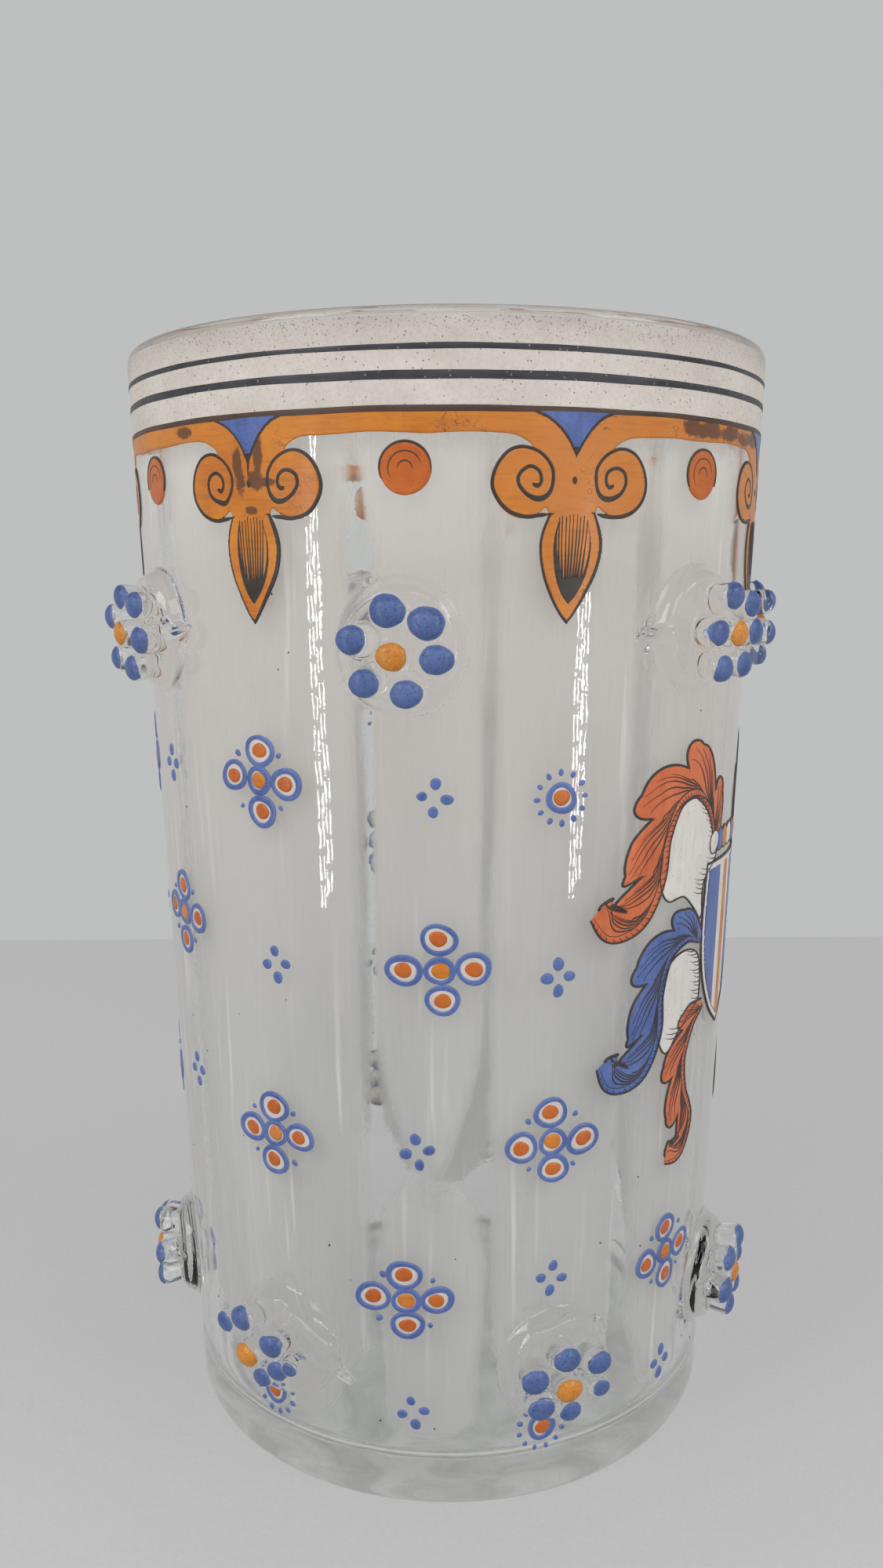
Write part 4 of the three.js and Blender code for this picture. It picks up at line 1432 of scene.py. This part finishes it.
def opal_rows(low, high, reach):
    """Heights of the rows of points, closer together round the foot."""
    turn = np.linspace(0, math.pi / 2, 11)
    above = np.arange(low + reach, high - 1, OPAL_ROW)[1:]
    return np.concatenate([low + reach * (1 - np.cos(turn)), above, [high]])


def side_wave(z, lengths, starts):
    """The slow unevenness of one side of a streak."""
    return sum(s * np.sin(z / length + p) for s, length, p in zip((1.0, 0.7, 0.3), lengths, starts))


def thin_solid(angle, height, base, body):
    """Points and triangles of a solid whose two faces meet along all four sides of their grid."""
    faces = [round_axis(radius, angle, height).reshape(-1, 3) for radius in (base + body, base - body)]
    front = np.arange(height.size).reshape(height.shape)
    back = front + front.size
    back[0], back[-1], back[:, 0], back[:, -1] = front[0], front[-1], front[:, 0], front[:, -1]
    return np.concatenate(faces), halved(np.concatenate([squares_of(front), squares_of(back)[:, ::-1]]))


def opal_streak(node, seed):
    """One milky streak, drawn out from the outline of its CAD solid."""
    heights, left, right = streak_sides(node)
    rng = np.random.default_rng(seed)
    starts = phases(rng, 6)
    hanging, short = heights[0] > 30, heights[-1] < 100
    wide = (right - left).max() * MM_PER_DEGREE
    reach = HANGING_TAPER if hanging else min(OPAL_FOOT_REACH, 0.45 * wide)
    tip = heights[-1] if short else heights[-1] - OPAL_TIP
    heights[0] += HANGING_LIFT if hanging else 0.0
    heights[-1] = heights[-1] + SHORT_RISE if short else OPAL_TOP
    z = opal_rows(heights[0], heights[-1], reach)

    held = np.clip(z, heights[0] + reach, tip)
    calm = 0.25 * np.clip(wide / 12, 0.2, 1) / MM_PER_DEGREE
    spread = (OPAL_SPREAD + OPAL_TOP_SPREAD * np.clip((z - 60) / 120, 0, 1)) / MM_PER_DEGREE
    if short:
        spread = spread + SHORT_SPREAD / MM_PER_DEGREE * np.clip((z - 25) / 25, 0, 1)
    a = np.interp(held, heights, left) - spread + side_wave(z, LOW_WAVES, starts[:3]) * calm
    b = np.interp(held, heights, right) + spread + side_wave(z, HIGH_WAVES, starts[3:]) * calm
    t = np.clip((z - heights[0]) / reach, 0, 1)
    taper = np.sin(t * math.pi / 2) ** HANGING_POINT if hanging else quarter_round(t)
    share = 0.05 + 0.95 * taper
    if short:
        share = share * np.clip((heights[-1] + 0.5 - z) / SHORT_HEAD, 0, 1) ** 0.5
    middle, half = ((a + b) / 2)[:, None], ((b - a) / 2 * share)[:, None]

    even = np.linspace(-1, 1, max(9, round(wide / OPAL_COLUMN)))
    u = 0.35 * np.sin(even * math.pi / 2) + 0.65 * even
    angle = np.radians(middle + half * u)
    height = np.repeat(z[:, None], len(u), 1)
    foot = height - z[0]
    side = np.minimum((1 - np.abs(u)) * half * MM_PER_DEGREE, 0.45 * (z[-1] - height))
    edge = np.minimum(side, foot)
    body = OPAL_HALF * quarter_round(np.clip(edge / OPAL_EDGE, 0, 1))
    base = wall_radius(height) - OPAL_DEPTH + 0.7 * inside_wave(angle, height) - rng.uniform(0, 0.25)
    points, triangles = thin_solid(angle, height, base, body)
    used, renumbered = np.unique(triangles, return_inverse=True)
    layers = {"edge": side, "foot": foot * (HANGING_FADE if hanging else 1.0)}
    layers = {name: np.tile(values.ravel(), 2)[used] for name, values in layers.items()}
    return Shape(points[used], renumbered.reshape(-1, 3), **layers)


streak_nodes = sorted(name for name in frame["nodes"] if name.startswith("opal_"))
for number, node in enumerate(streak_nodes):
    streak = opal_streak(node, STREAK_SEED + number)
    piece(node.replace("opal", "milky"), streak, [opal], "opal_glass", [node])


# Small painted florets, dots and suns

FLORET_TOP = 0.34
FILLING_TOP = 0.14
CORE_TOP = 0.42
DOT_TOP = 0.3
SPECK_TOP = 0.1
ROSETTE_REACH = 6.1
# Rings of a dab: the share of its outline, and of its full height
DAB_SHARES = np.array([1.0, 0.93, 0.8, 0.6, 0.35])
DAB_LIFT = np.array([0.0, 0.5, 0.8, 0.96, 1.0])


def ellipse_path(cx, cy, rx, ry, tilt, rng, count):
    """The slightly uneven outline of an ellipse."""
    around = full_turn(count)
    wave = 1 + 0.04 * np.sin(2 * around + rng.uniform(0, 6)) + 0.03 * np.sin(3 * around + rng.uniform(0, 6))
    x, y = rx * wave * np.cos(around), ry * wave * np.sin(around)
    cos, sin = math.cos(tilt), math.sin(tilt)
    return np.stack([cx + x * cos - y * sin, cy + x * sin + y * cos], 1)


def dab(place, outline, top, sunk=OVER_SUNK):
    """A small dome of enamel inside an outline, highest in its middle."""
    middle = outline.mean(0)
    x, y = (middle[k] + DAB_SHARES[:, None] * (outline[:, k] - middle[k]) for k in (0, 1))
    upper = on_wall(place, x, y, sunk + (top - sunk) * DAB_LIFT[:, None])
    ends = on_wall(place, middle[0], middle[1], np.array([top, sunk]))
    first = np.arange(len(outline))
    triangles = np.concatenate([
        ring_triangles(*x.shape)[:, ::-1],
        fan(x.size, first + x.size - len(outline)),
        fan(x.size + 1, first, backwards=True),
    ])
    size = np.linalg.norm(outline - middle, axis=1).mean()
    depth = np.repeat((1 - DAB_SHARES) * size, len(outline))
    points = np.concatenate([upper.reshape(-1, 3), ends])
    return Shape(points, triangles, edge=np.concatenate([depth, [size, 0.0]]))


blue_work, cream_work, orange_work, amber_work = [], [], [], []


def ringed_dot(place, cx, cy, rx, ry, tilt, rng, core, dots):
    """One floret: a blue ring, a pale filling and a coloured dot, which goes into the given list."""
    line = rng.uniform(0.44, 0.56)
    path = ellipse_path(cx, cy, rx - line, ry - line, tilt, rng, 40)
    around = full_turn(len(path))
    wave = 1 + 0.12 * np.sin(around + rng.uniform(0, 6)) + 0.06 * np.sin(3 * around + rng.uniform(0, 6))
    blue_work.append(stroke(place, path, line * wave, FLORET_TOP, True))
    filling = ellipse_path(cx, cy, rx - line, ry - line, tilt, rng, 24)
    cream_work.append(dab(place, filling, FILLING_TOP, SUNK))
    shift = rng.uniform(-0.2, 0.2, 2)
    outline = ellipse_path(cx + shift[0], cy + shift[1], rx * core, ry * core, tilt, rng, 22)
    dots.append(dab(place, outline, CORE_TOP))


def dot(place, cx, cy, radius, rng, tilt, stretch=1.25):
    outline = ellipse_path(cx, cy, radius * stretch, radius, tilt, rng, 16)
    blue_work.append(dab(place, outline, DOT_TOP))


def rosette(place, rng, tall, dots):
    """A cross of five ringed dots, most with tiny dots between its arms."""
    ringed_dot(place, 0, 0, 2.8, 2.65, rng.uniform(-0.2, 0.2), rng, 0.6, amber_work)
    for k in range(4):
        a = k * math.pi / 2 + rng.uniform(-0.09, 0.09)
        far = (ROSETTE_REACH if k % 2 == 0 else tall) * rng.uniform(0.93, 1.05)
        rx, ry = rng.uniform(3.1, 3.5), rng.uniform(2.75, 3.1)
        tilt = rng.uniform(-0.3, 0.3)
        ringed_dot(place, far * math.cos(a), far * math.sin(a), rx, ry, tilt, rng, 0.5, orange_work)
        d = math.pi / 4 + k * math.pi / 2 + rng.uniform(-0.1, 0.1)
        if dots:
            dot(place, 6.7 * math.cos(d), 6.5 * math.sin(d), rng.uniform(0.35, 0.6), rng, d)


def four_dots(place, rng):
    turn = rng.uniform(-0.25, 0.25)
    for k in range(4):
        a = k * math.pi / 2 + turn
        dot(place, 2.15 * math.cos(a), 2.5 * math.sin(a), rng.uniform(0.8, 1.1), rng, a, 1.2)


def sun(place, rng):
    """A ringed dot with twelve small dots for its rays."""
    ringed_dot(place, 0, 0, 2.9, 2.8, 0.0, rng, 0.55, orange_work)
    turn = rng.uniform(0, 0.5)
    for k in range(12):
        a = turn + k * math.pi / 6
        dot(place, 4.5 * math.cos(a), 4.5 * math.sin(a), rng.uniform(0.4, 0.55), rng, a, 1.3)


def speck(place, rng, size):
    """A small fleck fused into the glass."""
    outline = ellipse_path(0, 0, size, 0.7 * size, rng.uniform(0, 3), rng, 9)
    return dab(place, outline, SPECK_TOP)


def clear_of_prunts(place):
    spot = on_wall(place, 0.0, 0.0, 0.0)
    middles = [on_wall(prunt.place, 0.0, 0.0, 0.0) for prunt in prunts]
    return all(np.linalg.norm(spot - middle) > PRUNT_CLEARANCE for middle in middles)


# Places of the florets that show in front, and the same pattern carried on round the back
ROSETTES = [
    (-33.4, 141.6), (-1.7, 109.1), (-33.9, 74.1), (18.5, 75.4), (-8.2, 44.9), (-59.6, 112.2), (48.0, 44.3),
]
DOT_GROUPS = [
    (-2.4, 140.0), (-31.7, 107.7), (18.8, 106.8), (-5.8, 74.7), (19.0, 47.9), (-7.2, 21.5), (-60.5, 141.8),
    (-58.6, 79.7), (48.5, 19.7),
]
SUNS = [(18.5, 139.4), (17.7, 16.9), (-37.4, 18.7)]
BARE_ROSETTE = ROSETTES[1]
LOWEST_ROW = 45.0
ROW_HEIGHTS = (141.0, 109.0, 75.0, LOWEST_ROW)
SPECKS = 90
FLORET_SEED = 7
PRUNT_CLEARANCE = 15.0

for column in range(4, 12):
    azimuth = FIRST_ROUNDEL + PITCH_ANGLE / 2 * column
    for row, height in enumerate(ROW_HEIGHTS):
        if column < 6 and height > LOWEST_ROW:
            continue
        place = (azimuth + 1.5 * math.sin(3 * column + row), height + 1.4 * math.cos(5 * column + 2 * row))
        if (column + row) % 2:
            ROSETTES.append(place)
        elif row == 0 and column % 4 == 1:
            SUNS.append(place)
        else:
            DOT_GROUPS.append(place)

rng = np.random.default_rng(FLORET_SEED)
for place in ROSETTES:
    rosette(place, rng, tall=5.6 if place[1] > 60 else 5.0, dots=place != BARE_ROSETTE)
for place in DOT_GROUPS:
    four_dots(place, rng)
for place in SUNS:
    sun(place, rng)
specks = []
for _ in range(SPECKS):
    place = (rng.uniform(0, 360), rng.uniform(14, 196))
    size = rng.uniform(0.12, 0.3)
    if clear_of_prunts(place):
        specks.append(speck(place, rng, size))
joined_pieces([
    ("floret_rings", blue_work, blue, "blue_enamel"),
    ("glass_specks", specks, brown, "black_enamel"),
    ("floret_fillings", cream_work, cream, "white_enamel"),
    ("floret_dots", orange_work, red, "red_enamel"),
    ("floret_centres", amber_work, amber, "amber_enamel"),
])


# A plain shield with leafy mantling on the vase's right side

SHIELD_PLACE = (67.0, 107.0)
SHIELD_SIDE = [(12.5, 15.4), (13.2, 2.0), (11.4, -8.0), (6.6, -15.6)]
SHIELD_TIP = -20.5
SHIELD_BOX = (-14.0, -21.5), (14.0, 16.5)
LEAF_TOP = 0.2
CLOTH_TOP = 0.13
# Across a leaf: how far to the side, and how much of the full height
LEAF_SIDE = np.array([-1.0, -0.94, -0.6, -0.2, 0.2, 0.5, 0.75, 0.95, 1.0])
LEAF_LIFT = np.array([0.0, 0.75, 1.0, 0.9, 0.85, 0.95, 1.0, 0.75, 0.0])
VEIN_REACHES = (0.3, 0.45, 0.6, 0.74, 0.88)
CURL_PITCH = 1.15
CURL_MARGIN = 1.2
FOLD_PITCH = 0.85
MANTLING_SEED = 21
# The roll of cloth on the shield's head: its folds, the first one's place and the step to the next
ROLL_FOLDS = 7
ROLL_START = -9.6
ROLL_PITCH = 3.2
ROLL_HEIGHT = 19.2
ROLL_TOP = 0.45


class Leaf:
    """A broad curling acanthus leaf: lobes on the outer side of its spine, a smooth inner side.

    It takes the spine's points, the half widths of its two sides, the number of lobes, and 1 or -1.
    """

    def __init__(self, spine, outer, inner, lobes, mirror):
        self.path = curve_through(np.array(spine) * (mirror, 1), 0.35)
        self.outer, self.inner, self.lobes, self.mirror = outer, inner, lobes, mirror
        way = np.gradient(self.path, axis=0)
        self.way = way / np.linalg.norm(way, axis=1)[:, None]
        self.left = np.stack([-self.way[:, 1], self.way[:, 0]], 1) * mirror
        steps = np.linalg.norm(np.diff(self.path, axis=0), axis=1)
        self.length = steps.sum()
        self.share = np.concatenate([[0.0], np.cumsum(steps)]) / self.length
        self.t = np.linspace(0, 1, 36 * lobes)

    def at(self, t, off):
        """Points at shares along the spine, off to the outer side from -1 to 1 of the leaf's width there."""
        t, off = np.broadcast_arrays(np.asarray(t, float), np.asarray(off, float))
        body = 1.75 * (t + 0.05) ** 0.5 * (1.03 - t) ** 0.45
        part = np.mod(np.clip(self.lobes * t, 0, self.lobes - 1e-6), 1.0)
        lobe = np.abs(np.sin(math.pi * part**1.5)) ** 0.6
        scallop = np.abs(np.sin(2 * math.pi * part**1.2)) ** 0.7
        wide = np.where(off > 0, self.outer * body * (0.34 + 0.56 * lobe + 0.1 * scallop), self.inner * body)
        ahead = 0.5 * self.outer * body * lobe * np.clip(off, 0, 1) ** 1.6
        made = []
        for k in (0, 1):
            spot, left, way = (np.interp(t, self.share, v[:, k]) for v in (self.path, self.left, self.way))
            made.append(spot + left * off * wide + way * ahead)
        return made

    def body(self, place, top):
        x, y = self.at(self.t[:, None], LEAF_SIDE)
        lift = LEAF_LIFT
        if self.mirror < 0:
            x, y, lift = x[:, ::-1], y[:, ::-1], lift[::-1]
        made = tube(on_wall(place, x, y, SUNK + (top - SUNK) * lift), False)
        made.layers["edge"] = np.concatenate([np.tile(lift, len(x)), [0.0, 0.0]])
        return made

    def line(self, place, t, off, half, top):
        return stroke(place, np.stack(self.at(t, off), 1), half, top)

    def ink(self, place, top, rng):
        """Its outlines, a rib, veins that sweep out into each lobe, and shading inside the curl."""
        made = [
            self.line(place, self.t, 0.98, 0.24, top),
            self.line(place, self.t, -0.97, 0.2, top),
            self.line(place, self.t, -0.42, 0.05 + 0.14 * np.sin(math.pi * self.t), top - 0.02),
        ]
        s = np.linspace(0, 1, 16)
        for k in range(self.lobes):
            for reach in VEIN_REACHES:
                end = (k + reach) / self.lobes
                start = max((k + reach - 0.9) / self.lobes, 0.02)
                depth = rng.uniform(0.42, 0.5) + 0.38 * math.sin(math.pi * reach**1.5)
                off = -0.4 + (depth + 0.4) * s**1.3
                half = 0.05 + 0.15 * np.sin(math.pi * s**0.7) * rng.uniform(0.7, 1.1)
                made.append(self.line(place, start + (end - start) * s, off, half, top - 0.02))
        for centre in np.arange(CURL_MARGIN, self.length - CURL_MARGIN, CURL_PITCH) / self.length:
            off = np.linspace(-0.93, rng.uniform(-0.66, -0.5), 5)
            made.append(self.line(place, centre + 0.02 * (off + 0.9), off, 0.09, top - 0.03))
        return made


def cloth(outline, mirror, rng):
    """A white fold of lining: its flat, its outline, and curved shading along its lower side."""
    edge = curve_through(np.array(outline) * (mirror, 1), 0.5, closed=True)
    low, high = edge.min(0) - 0.8, edge.max(0) + 0.8
    flat = raised(SHIELD_PLACE, lambda x, y: inside_outline(x, y, edge), low, high, 0.4, CLOTH_TOP, 0.3)
    drawn = [stroke(SHIELD_PLACE, edge, 0.17, LINE_TOP - 0.02, True)]
    x = mirror * (abs(edge[:, 0]).min() + np.linspace(0, 1, 240) * np.ptp(edge[:, 0]))
    t = np.linspace(0, 1, 8)
    for level in np.arange(low[1] + 1.6, high[1] - 1.6, FOLD_PITCH):
        within = np.flatnonzero(inside_outline(x, level + 0 * x, edge) < -0.2)
        if len(within) < len(x) / 4:
            continue
        start, reach = x[within[0]], rng.uniform(2.4, 4.6) * mirror
        path = np.stack([start + reach * t, level + 0.9 * t * t], 1)
        drawn.append(stroke(SHIELD_PLACE, path, 0.11 * (1.04 - t**2), LINE_TOP - 0.03))
    return flat, drawn


UPPER_LEAF = [
    (8, 19), (11.5, 27), (18, 32), (25, 30.5), (29, 23.5), (30, 15.5), (33.5, 9), (39.5, 7), (43.5, 10.5),
]
MIDDLE_LEAF = [
    (13.2, 1), (19, 3), (25.5, 0.5), (28.5, -7), (28.5, -15), (32, -21.5), (38, -22.5), (41, -18.5),
]
LOWER_LEAF = [(10.5, -13), (15.5, -16), (19, -22.5), (18, -30), (14.5, -36.5), (17, -42), (22, -42.5)]
UPPER_CLOTH = [
    (8, 16.5), (9.5, 22), (13, 27), (18, 29.5), (24, 28), (27.5, 22.5), (28.5, 15), (26, 10.5), (21, 10.5),
    (17, 7.5), (13.8, 5), (13.4, 12),
]
LOWER_CLOTH = [
    (13.6, -3), (18.5, -0.5), (24, -2), (27, -8), (27.2, -15), (24, -20), (20, -16.5), (15.5, -13.5),
    (12.4, -11),
]

rust_work, azure_work, lining_work, ochre_work, mantling_ink = [], [], [], [], []
rng = np.random.default_rng(MANTLING_SEED)
for mirror in (1, -1):
    for outline in (UPPER_CLOTH, LOWER_CLOTH):
        flat, drawn = cloth(outline, mirror, rng)
        lining_work.append(flat)
        mantling_ink += drawn
    for spine, outer, inner, lobes, work in (
        (UPPER_LEAF, 8.8, 3.4, 6, rust_work),
        (MIDDLE_LEAF, 7.6, 3.0, 5, azure_work),
        (LOWER_LEAF, 6.2, 2.6, 5, rust_work),
    ):
        leaf = Leaf(spine, outer, inner, lobes, mirror)
        work.append(leaf.body(SHIELD_PLACE, LEAF_TOP))
        mantling_ink += leaf.ink(SHIELD_PLACE, LINE_TOP, rng)

shield_edge = symmetric_outline(SHIELD_SIDE, SHIELD_TIP)


def shield_field(x, y):
    return inside_outline(x, y, shield_edge)


def stripe(low, high):
    """The part of the shield between two upright lines."""
    return lambda x, y: np.maximum(shield_field(x, y) + 1.5, np.maximum(low - x, x - high))


def shield_line(x, y):
    """A broad line round the shield and a fine one inside it."""
    whole = shield_field(x, y)
    return np.minimum(np.abs(whole + 0.3) - 0.3, np.abs(whole + 1.6) - 0.14)


lining_work.append(raised(SHIELD_PLACE, shield_field, *SHIELD_BOX, 0.4, LEAF_TOP - 0.02, 0.3))
for low, high, work in ((-11.6, -4.4, azure_work), (-1.6, 1.6, ochre_work), (4.4, 11.6, azure_work)):
    work.append(painted(SHIELD_PLACE, stripe(low, high), *SHIELD_BOX, 0.3, 0.2, LINE_TOP - 0.03))
mantling_ink.append(painted(SHIELD_PLACE, shield_line, *SHIELD_BOX, 0.2, 0.12, LINE_TOP + 0.02))
for k in range(ROLL_FOLDS):
    outline = ellipse_path(ROLL_START + ROLL_PITCH * k, ROLL_HEIGHT, 2.05, 2.3, -0.35, rng, 28)
    (lining_work, azure_work, ochre_work)[k % 3].append(dab(SHIELD_PLACE, outline, ROLL_TOP))
    mantling_ink.append(stroke(SHIELD_PLACE, outline, 0.14, LINE_TOP, True))
joined_pieces([
    ("mantling_rust", rust_work, rust, "red_enamel"),
    ("mantling_blue", azure_work, blue, "blue_enamel"),
    ("mantling_lining", lining_work, white, "white_enamel"),
    ("mantling_ochre", ochre_work, amber, "amber_enamel"),
    ("mantling_drawing", mantling_ink, black, "black_enamel"),
])


# Floor, background, lamps and camera

FLOOR_HALF_WIDTH = 1200.0
FLOOR_HALF_DEPTH = 335.0
FLOOR_COLOUR = linear(182, 181, 182)
FLOOR_SHADE = linear(178, 177, 178)
BACKGROUND = linear(190, 191, 191)
CEILING = linear(70, 70, 74)
CEILING_STARTS = (0.2, 0.6)
ROOM_LIGHT = 0.82
LAMP_TARGET = (0.0, 0.0, 110.0)
# Place, width and power of the soft lamps
SOFT_LAMPS = {
    "soft_left": ((-900, -700, 900), 600, 4.6),
    "soft_right": ((1000, -500, 800), 500, 3.0),
    "soft_front": ((150, -1500, 1300), 900, 6.0),
}
CAMERA_PLACE = (-1.511, -277.645, 178.436)
CAMERA_TURN = (0.1646, 0.0008, -0.0038)  # pitch, yaw and roll, in radians
CAMERA_LENS = 29.7
SENSOR_WIDTH = 36.0
LINK_PITCH = 11.0
LINK_COLUMN = 5.6
LINK_HALF = 3.1
LINK_BAR = (2.7, 8.6)
LINK_RADIANCE = 16.0


def stage_floor():
    corners = [(-1, -1), (1, -1), (1, 1), (-1, 1)]
    points = [(FLOOR_HALF_WIDTH * x * MM, FLOOR_HALF_DEPTH * y * MM, 0) for x, y in corners]
    mesh = bpy.data.meshes.new("floor")
    mesh.from_pydata(points, [], [(0, 1, 2, 3)])
    material, tree = start_material("pale_floor")
    colour = blend(tree, span(tree, noise(tree, 900, 3.0), 0.3, 0.7), FLOOR_COLOUR, FLOOR_SHADE)
    finish_material(tree, shader(tree, "BsdfDiffuse", {"Color": colour}))
    mesh.materials.append(material)
    new_object("floor", mesh)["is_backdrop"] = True


def world():
    """Even white light; a plain backdrop for the camera; pale walls and a dark ceiling in the glass."""
    made = bpy.data.worlds.new("studio")
    made.use_nodes = True
    tree = made.node_tree
    tree.nodes.clear()
    path = add(tree, "ShaderNodeLightPath").outputs
    way = add(tree, "ShaderNodeTexCoord").outputs["Generated"]
    upward = add(tree, "ShaderNodeSeparateXYZ", {0: way}).outputs[2]
    walls = blend(tree, span(tree, upward, *CEILING_STARTS), BACKGROUND, CEILING)
    light = shader(tree, "Background", {"Color": (1, 1, 1, 1), "Strength": ROOM_LIGHT})
    room = shader(tree, "Background", {"Color": walls, "Strength": 1.0})
    backdrop = shader(tree, "Background", {"Color": BACKGROUND, "Strength": 1.0})
    in_glass = arithmetic(tree, "MAXIMUM", path["Is Glossy Ray"], path["Is Transmission Ray"])
    seen = mix(tree, path["Is Camera Ray"], mix(tree, in_glass, light, room), backdrop)
    add(tree, "ShaderNodeOutputWorld", {"Surface": seen})
    bpy.context.scene.world = made


def lamp(name, place, target, size, power, through_glass=True):
    """A soft rectangular lamp; place and target in millimetres, power in watts."""
    data = bpy.data.lights.new(name, "AREA")
    data.shape = "RECTANGLE"
    data.size, data.size_y = size[0] * MM, size[1] * MM
    data.energy = power
    made = new_object(name, data)
    made.location = Vector(place) * MM
    made.rotation_mode = "QUATERNION"
    made.rotation_quaternion = (Vector(target) - Vector(place)).to_track_quat("-Z", "Y")
    made.visible_camera = False
    made.visible_transmission = through_glass


def lamp_chain(name, x, y, low, high):
    """Small lamps in two staggered columns of links of two bars, for the bright chains on the glass."""
    away = math.hypot(x, y)
    power = LINK_RADIANCE * math.pi * LINK_BAR[0] * LINK_BAR[1] * MM * MM
    for k in range(round((high - low) / LINK_PITCH)):
        for column in (-1, 1):
            z = low + LINK_PITCH * (k + 0.25 * (column + 1))
            for bar in (-1, 1):
                across = column * LINK_COLUMN + bar * LINK_HALF
                place = (x + across * -y / away, y + across * x / away, z)
                lamp(f"{name}_{k}_{column + 1}_{bar + 1}", place, (0.0, 0.0, z), LINK_BAR, power, False)


def camera():
    """The camera, fitted to the rim, the foot and the lines on the vase."""
    place = Vector(CAMERA_PLACE) * MM
    pitch, yaw, roll = CAMERA_TURN
    forward = Vector((math.sin(yaw) * math.cos(pitch), math.cos(yaw) * math.cos(pitch), -math.sin(pitch)))
    level = Vector((math.cos(yaw), -math.sin(yaw), 0))
    upward = level.cross(forward)
    right = level * math.cos(roll) + upward * math.sin(roll)
    upward = upward * math.cos(roll) - level * math.sin(roll)
    data = bpy.data.cameras.new("camera")
    data.lens = CAMERA_LENS
    data.sensor_width = SENSOR_WIDTH
    data.clip_start = 0.01
    made = new_object("camera", data)
    turn = Matrix((right, upward, -forward)).transposed().to_4x4()
    made.matrix_world = Matrix.Translation(place) @ turn
    bpy.context.scene.camera = made


stage_floor()
world()
lamp_chain("left_links", -170.3, -193.0, 55.0, 206.0)
lamp_chain("right_links", 174.0, -188.0, 60.0, 190.0)
for name, (place, width, power) in SOFT_LAMPS.items():
    lamp(name, place, LAMP_TARGET, (width, width), power)
camera()
bpy.context.scene.view_settings.view_transform = "Standard"
bpy.context.scene.cycles.transparent_max_bounces = 32
bpy.context.scene.cycles.transmission_bounces = 20
bpy.context.scene.cycles.max_bounces = 24

low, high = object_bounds()
